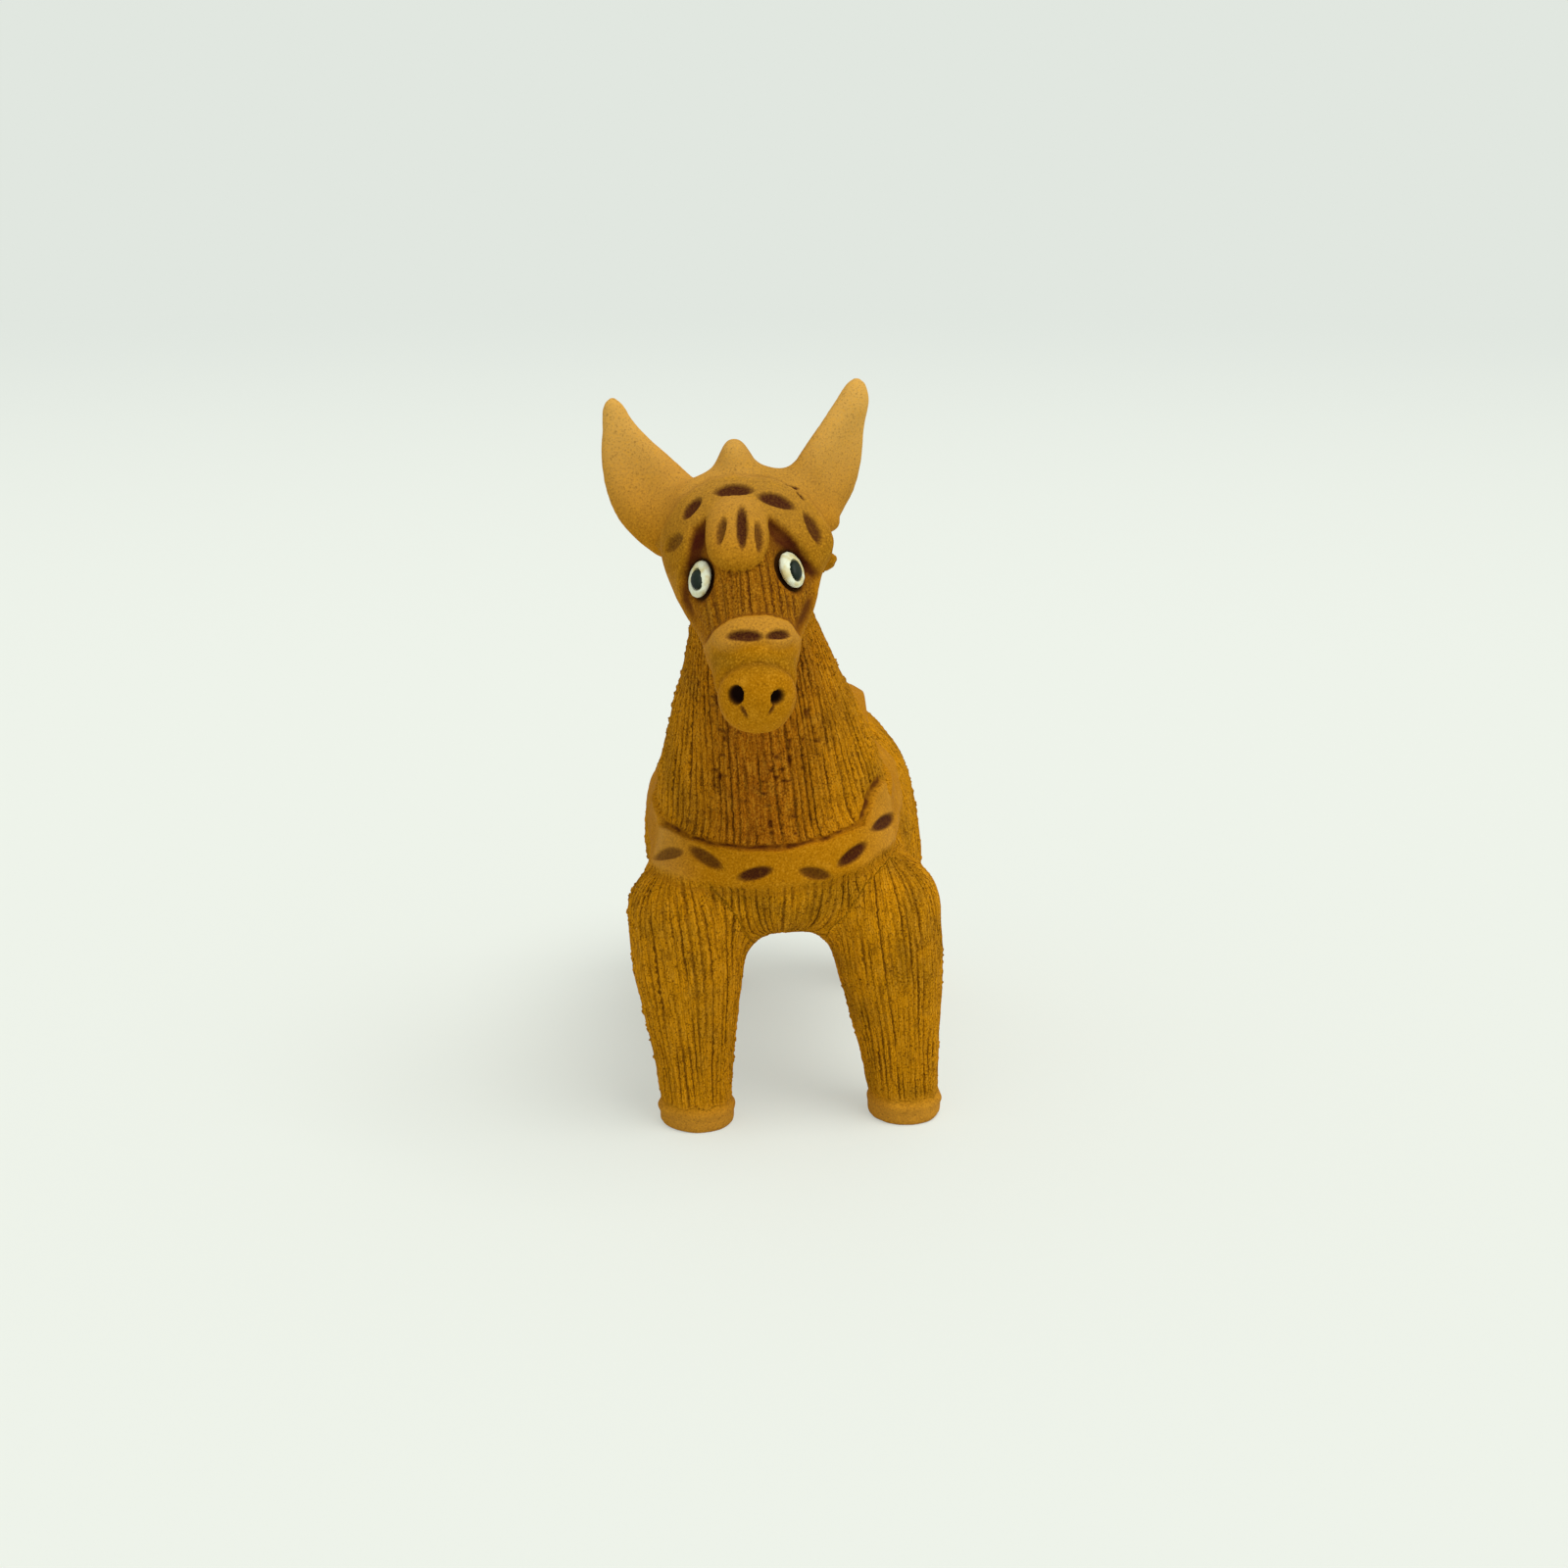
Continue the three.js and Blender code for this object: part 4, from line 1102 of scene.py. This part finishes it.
def shade_clay(clay):
    """How ruddy, olive and pale the fired clay is from place to place; the paleness towards the top is
    partly painted light.
    """
    face = clay.tints["face"]
    x, _, z = clay.points.T
    clay.tint("ruddy", np.maximum(breast_share(clay), face * FACE_RUDDY))
    crown = bell(x, 0, CROWN_HALF) * ramp(z, *CROWN_BOTTOM)
    clay.tint("olive_and_shade", CROWN_OLIVE * crown * (1 - face))
    clay.tint("pale_and_painted_light", paleness(clay.points) * (1 - face))
    clay.tint("pale_and_painted_light", SOLE_PALE * fade(z, *PALE_SOLES))


def paleness(points):
    """How pale the clay gets towards the tips of the ears: partly its own tone, partly painted light on
    the upper parts.
    """
    return ramp(points[:, 2], *PALE_TOP)


# Parting the skin

def part_skin(clay):
    """Parts the skin into one closed piece for each of its owners."""
    skin = clay.skin
    tree = tree_of(skin.data)
    for name in LUMPS:
        skin.data.attributes.remove(skin.data.attributes[f"near_{name}"])
    for name, values in clay.tints.items():
        set_attribute(skin, name, values)
    outward = skin.data.attributes.new("outward", "FLOAT_VECTOR", "POINT")
    outward.data.foreach_set("vector", clay.normals.astype(np.float32).ravel())
    corners = np.empty(len(skin.data.loops), np.int32)
    skin.data.loops.foreach_get("vertex_index", corners)
    # Where a face's corners disagree, the second owner in order takes it
    owners = np.sort(clay.owner[corners.reshape(-1, 4)], axis=1)[:, 1]
    for name in OWNERS:
        skin.data.materials.append(bpy.data.materials.new(f"part_{name}"))
    skin.data.polygons.foreach_set("material_index", owners.astype(np.int32))
    bpy.context.view_layer.objects.active = skin
    skin.select_set(True)
    before = set(bpy.data.objects)
    bpy.ops.object.mode_set(mode="EDIT")
    bpy.ops.mesh.select_all(action="SELECT")
    bpy.ops.mesh.separate(type="MATERIAL")
    bpy.ops.object.mode_set(mode="OBJECT")
    parts = {}
    for part in [skin, *(set(bpy.data.objects) - before)]:
        part.select_set(False)
        name = part.data.materials[part.data.polygons[0].material_index].name.removeprefix("part_")
        part.data.materials.clear()
        close_part(part, tree)
        part.name = f"clay_{name}"
        parts[name] = part
    return parts


def close_part(part, tree):
    """Turns a part's rim inwards and closes it, with the joined skin's normals outside."""
    shape = bmesh.new()
    shape.from_mesh(part.data)
    outward = shape.verts.layers.float_vector["outward"]
    rim = [edge for edge in shape.edges if edge.is_boundary]
    turned_in = bmesh.ops.extrude_edge_only(shape, edges=rim)["geom"]
    for vertex in (item for item in turned_in if isinstance(item, bmesh.types.BMVert)):
        inward = -vertex[outward]
        through = tree.ray_cast(vertex.co + inward * MERGE_DISTANCE, inward)[3] or 0
        vertex.co += inward * min(RIM_DEPTH, through * RIM_SHARE)
    inner_rim = [item for item in turned_in if isinstance(item, bmesh.types.BMEdge)]
    caps = bmesh.ops.holes_fill(shape, edges=inner_rim, sides=0)["faces"]
    bmesh.ops.triangulate(shape, faces=caps)
    shape.to_mesh(part.data)
    triangles = sum(len(face.verts) - 2 for face in shape.faces)
    shape.free()
    if triangles > MOST_TRIANGLES:
        modify(part, "DECIMATE", ratio=MOST_TRIANGLES / triangles)
    part.data.shade_smooth()
    normals = vectors_of(part.data.attributes["outward"].data, "vector")
    part.data.normals_split_custom_set_from_vertices(normals)
    part.data.attributes.remove(part.data.attributes["outward"])


def pellet(name, voxel, rounds):
    """A rounded copy of a small solid of the frame."""
    piece = add_object(f"clay_{name}", node_bmesh(name))
    remesh(piece, voxel)
    smooth(piece, rounds)
    piece.data.shade_smooth()
    set_attribute(piece, "pale_and_painted_light", paleness(points_of(piece)))
    set_attribute(piece, "bare", np.ones(len(piece.data.vertices)))
    return piece


# Materials

class Socket:
    """A value in a node tree that ordinary arithmetic can be done on."""

    def __init__(self, nodes, socket):
        self.nodes = nodes
        self.socket = socket

    def math(self, operation, *values):
        return self.nodes.add("ShaderNodeMath", {"operation": operation}, dict(enumerate(values)))

    def __add__(self, other):
        return self.math("ADD", self, other)

    def __sub__(self, other):
        return self.math("SUBTRACT", self, other)

    def __rsub__(self, other):
        return self.math("SUBTRACT", other, self)

    def __mul__(self, other):
        return self.math("MULTIPLY", self, other)

    def __mod__(self, other):
        return self.math("FLOORED_MODULO", self, other)

    def __abs__(self):
        return self.math("ABSOLUTE", self)

    __radd__ = __add__
    __rmul__ = __mul__


class Nodes:
    """The node tree of a material or a world."""

    def __init__(self, owner):
        owner.use_nodes = True
        self.owner = owner
        self.tree = owner.node_tree
        self.tree.nodes.clear()

    def add(self, kind, settings=None, inputs=None, output=0):
        """Adds a node and returns one of its outputs."""
        node = self.tree.nodes.new(kind)
        for key, value in (settings or {}).items():
            setattr(node, key, value)
        for key, value in (inputs or {}).items():
            if isinstance(value, Socket):
                self.tree.links.new(value.socket, node.inputs[key])
            else:
                node.inputs[key].default_value = value
        return Socket(self, node.outputs[output]) if node.outputs else None

    def attribute(self, name):
        return self.add("ShaderNodeAttribute", {"attribute_name": name}, output="Fac")

    def place(self):
        return self.add("ShaderNodeTexCoord", output="Object")

    def seen(self):
        """1 for the rays that show the surroundings, 0 for those that only carry their light."""
        rays = [self.add("ShaderNodeLightPath", output=f"Is {kind} Ray") for kind in SEEING_RAYS]
        return sum(rays[1:], rays[0])

    def noise(self, size, detail=2.0):
        """Noise from 0 to 1 in lumps of the given size."""
        inputs = {"Vector": self.place(), "Scale": 1 / size, "Detail": detail}
        return self.add("ShaderNodeTexNoise", {}, inputs)

    def streaks(self, across, along):
        """Noise from 0 to 1 on a surface's own places."""
        place = self.add("ShaderNodeCombineXYZ", {}, {0: across, 1: along})
        inputs = {"Vector": place, "Scale": 1, "Detail": 3}
        return self.add("ShaderNodeTexNoise", {"noise_dimensions": "2D"}, inputs)

    def between(self, value, start, end):
        """Smoothly from 0 to 1 as a value goes from start to end."""
        inputs = {"Value": value, "From Min": start, "From Max": end}
        return self.add("ShaderNodeMapRange", {"interpolation_type": "SMOOTHSTEP"}, inputs)

    def mix(self, share, first, second):
        inputs = {0: share, 6: first, 7: second}
        return self.add("ShaderNodeMix", {"data_type": "RGBA"}, inputs, output=2)

    def bump(self, height, distance):
        return self.add("ShaderNodeBump", {}, {"Height": height, "Distance": distance})

    def surface(self, **inputs):
        named = {key.replace("_", " "): value for key, value in inputs.items()}
        shader = self.add("ShaderNodeBsdfPrincipled", {}, named)
        self.add("ShaderNodeOutputMaterial", {}, {"Surface": shader})
        return self.owner


def clay_look(name, roughness):
    """Clay with comb marks and tints where the skin has them, painted shade and highlights among them.
    """
    clay = Nodes(bpy.data.materials.new(f"{name}_look"))
    stroke = clay.attribute("stroke")
    combed = clay.attribute("combed")
    broad = clay.noise(BROAD_SIZE)
    patchy = clay.noise(PATCH_SIZE, 4)
    grain = clay.noise(GRAIN_SIZE, 3)
    wobble = clay.noise(WOBBLE_SIZE, 3)
    tooth = clay.attribute("tooth") + (wobble - 0.5) * WOBBLE
    streak = clay.streaks(tooth * STREAKS_PER_TOOTH, clay.attribute("run") * STREAKS_PER_MM)
    groove = (1 - clay.between(abs(tooth % 1 - 0.5), *GROOVE_EDGE)) * stroke
    scratch = abs((tooth * SCRATCHES_PER_TOOTH) % 1 - 0.5)
    scratch = (1 - clay.between(scratch, *SCRATCH_EDGE)) * combed
    # Painted shade in the comb's grooves, maroon on the face
    groove_shade = clay.mix(clay.attribute("face"), CLAY_DARK, SHADE_MAROON)
    # From the bottom up: each layer's share and its colour
    layers = [
        (clay.attribute("bare"), CLAY_GOLD),
        (clay.between(broad, 0.45, 0.65) * combed * 0.45, CLAY_OLIVE),
        (clay.attribute("ruddy") * (0.55 + 0.45 * patchy), CLAY_RED),
        # Own paleness towards the top and the soles, with painted light on the upper parts and the
        # collar's ends, and painted highlights on the cheek straps and noseband
        (clay.attribute("pale_and_painted_light"), CLAY_PALE),
        # Own olive on the face and the crown, and painted shade below the noseband and under the brow
        (clay.attribute("olive_and_shade") * (0.4 + 0.8 * patchy), CLAY_OLIVE),
        (clay.between(patchy, 0.5, 0.8) * 0.3, CLAY_LIGHT),
        (clay.between(streak, 0.5, 0.75) * combed * 0.4, CLAY_LIGHT),
        (clay.between(streak, 0.5, 0.28) * combed * 0.4, CLAY_DARK),
        (clay.between(grain, 0.5, 0.75) * (combed * 0.45 + 0.42), CLAY_DARK),
        (clay.between(grain, 0.5, 0.3) * 0.4, CLAY_LIGHT),
        # Painted shade in the comb's fine scratches and grooves
        (scratch * 0.22, CLAY_DARK),
        (groove * (0.35 + 0.7 * grain), groove_shade),
        # Painted shade in recesses, creases, cracks and torn pits
        (clay.attribute("recess_shade") * (0.7 + 0.4 * patchy), SHADE_MAROON),
        # Painted shade in the pressed marks
        (clay.attribute("mark_shade") * (0.75 + 0.4 * grain), MARK_SHADE),
        # Painted shade in the eye sockets and the nostrils
        (clay.attribute("pit_shade"), PIT_SHADE),
    ]
    color = CLAY_COMBED
    for share, layer in layers:
        color = clay.mix(share, color, layer)
    height = grain * (combed * 0.6 + 0.3) + patchy * 0.4
    height = height - groove * 0.8 - scratch * 0.3 + streak * combed * 0.5
    looks = {"Base_Color": color, "Roughness": roughness, "Specular_IOR_Level": CLAY_SHINE}
    return clay.surface(**looks, Normal=clay.bump(height, CLAY_BUMP))


def eye_look():
    """White glaze with cream patches and specks."""
    glaze = Nodes(bpy.data.materials.new("eye_glaze_look"))
    patches = glaze.between(glaze.noise(EYE_PATCH_SIZE), 0.42, 0.65) * 0.8
    specks = glaze.between(glaze.noise(EYE_GRAIN_SIZE), 0.5, 0.8) * 0.25
    color = glaze.mix(patches, EYE_WHITE, EYE_CREAM)
    color = glaze.mix(specks, color, EYE_CREAM)
    return glaze.surface(Base_Color=color, Roughness=EYE_ROUGHNESS, Specular_IOR_Level=EYE_SHINE)


def pupil_look():
    """Dark glaze with green patches."""
    glaze = Nodes(bpy.data.materials.new("pupil_glaze_look"))
    color = glaze.mix(glaze.noise(PUPIL_PATCH_SIZE) * 0.6, PUPIL_DARK, PUPIL_GREEN)
    return glaze.surface(Base_Color=color, Roughness=PUPIL_ROUGHNESS, Specular_IOR_Level=PUPIL_SHINE)


# Making the pieces

def settle(piece, material, name):
    piece.data.materials.clear()
    piece.data.materials.append(material)
    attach(piece, "root")
    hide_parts(name)


def make_donkey():
    combed = clay_look("combed_clay", COMBED_ROUGHNESS)
    plain = clay_look("smooth_clay", SMOOTH_ROUGHNESS)
    white = eye_look()
    dark = pupil_look()
    eyes = []
    for side in SIDES:
        eye = pellet(f"eye_{side}", PELLET_VOXEL, EYE_SMOOTHING)
        pupil = pellet(f"pupil_{side}", PELLET_VOXEL, PUPIL_SMOOTHING)
        for piece in (eye, pupil):
            piece.data.transform(Matrix.Translation(EYE_SHIFTS[side]))
        settle(eye, white, f"eye_{side}")
        settle(pupil, dark, f"pupil_{side}")
        eyes.append(eye)
    clay = Clay(join_skin())
    shape_hooves(clay)
    swell_clay(clay)
    raise_bridle(clay, eyes)
    above_collar = raise_collar(clay)
    press_marks(clay)
    comb_skin(clay, above_collar)
    shade_clay(clay)
    for name, part in part_skin(clay).items():
        settle(part, combed if name in COMBED else plain, name)
    settle(pellet("saddle", SADDLE_VOXEL, SADDLE_SMOOTHING), plain, "saddle")


# Stage

def make_stage():
    """A paper floor that fades into the backdrop with distance."""
    shape = bmesh.new()
    bmesh.ops.create_grid(shape, x_segments=1, y_segments=1, size=FLOOR_SIZE / 2)
    floor = add_object("floor", shape)
    paper = Nodes(bpy.data.materials.new("paper"))
    away = paper.add("ShaderNodeVectorMath", {"operation": "LENGTH"}, {0: paper.place()}, output="Value")
    color = paper.mix(paper.between(away, *FLOOR_FADE), FLOOR_NEAR, FLOOR_FAR)
    lit = paper.add("ShaderNodeBsdfPrincipled", {}, {"Base Color": color, "Roughness": FLOOR_ROUGHNESS})
    glow = paper.add("ShaderNodeEmission", {}, {"Color": color, "Strength": 1})
    glowing = FLOOR_GLOW + (1 - FLOOR_GLOW) * paper.between(away, *GLOW_FADE)
    glowing = paper.seen() * glowing
    both = paper.add("ShaderNodeMixShader", {}, {0: glowing, 1: lit, 2: glow})
    paper.add("ShaderNodeOutputMaterial", {}, {"Surface": both})
    floor.data.materials.append(paper.owner)


def make_light():
    """A soft sun under a white sky, with the floor's far colour as backdrop."""
    world = bpy.data.worlds.new("studio")
    bpy.context.scene.world = world
    sky = Nodes(world)
    seen = sky.seen()
    light = sky.add("ShaderNodeBackground", {}, {"Color": SKY_WHITE, "Strength": SKY_LIGHT})
    backdrop = sky.add("ShaderNodeBackground", {}, {"Color": FLOOR_FAR, "Strength": 1})
    both = sky.add("ShaderNodeMixShader", {}, {0: seen, 1: light, 2: backdrop})
    sky.add("ShaderNodeOutputWorld", {}, {"Surface": both})
    sun = bpy.data.lights.new("sun", "SUN")
    sun.energy = SUN_LIGHT
    sun.angle = SUN_SPREAD
    lamp = bpy.data.objects.new("sun", sun)
    lamp.rotation_euler = SUN_FROM.to_track_quat("Z", "Y").to_euler()
    bpy.context.scene.collection.objects.link(lamp)


def make_camera():
    lens = bpy.data.cameras.new("camera")
    lens.sensor_width = SENSOR_WIDTH
    lens.lens = SENSOR_WIDTH * FOCAL_PIXELS / IMAGE_SIZE
    lens.clip_start = CLIP_START
    camera = bpy.data.objects.new("camera", lens)
    camera.location = CAMERA_PLACE
    camera.rotation_euler = camera_turn().to_euler()
    bpy.context.scene.collection.objects.link(camera)
    bpy.context.scene.camera = camera


bpy.context.scene.view_settings.view_transform = "Standard"
make_camera()
make_light()
make_stage()
make_donkey()

bpy.context.view_layer.update()
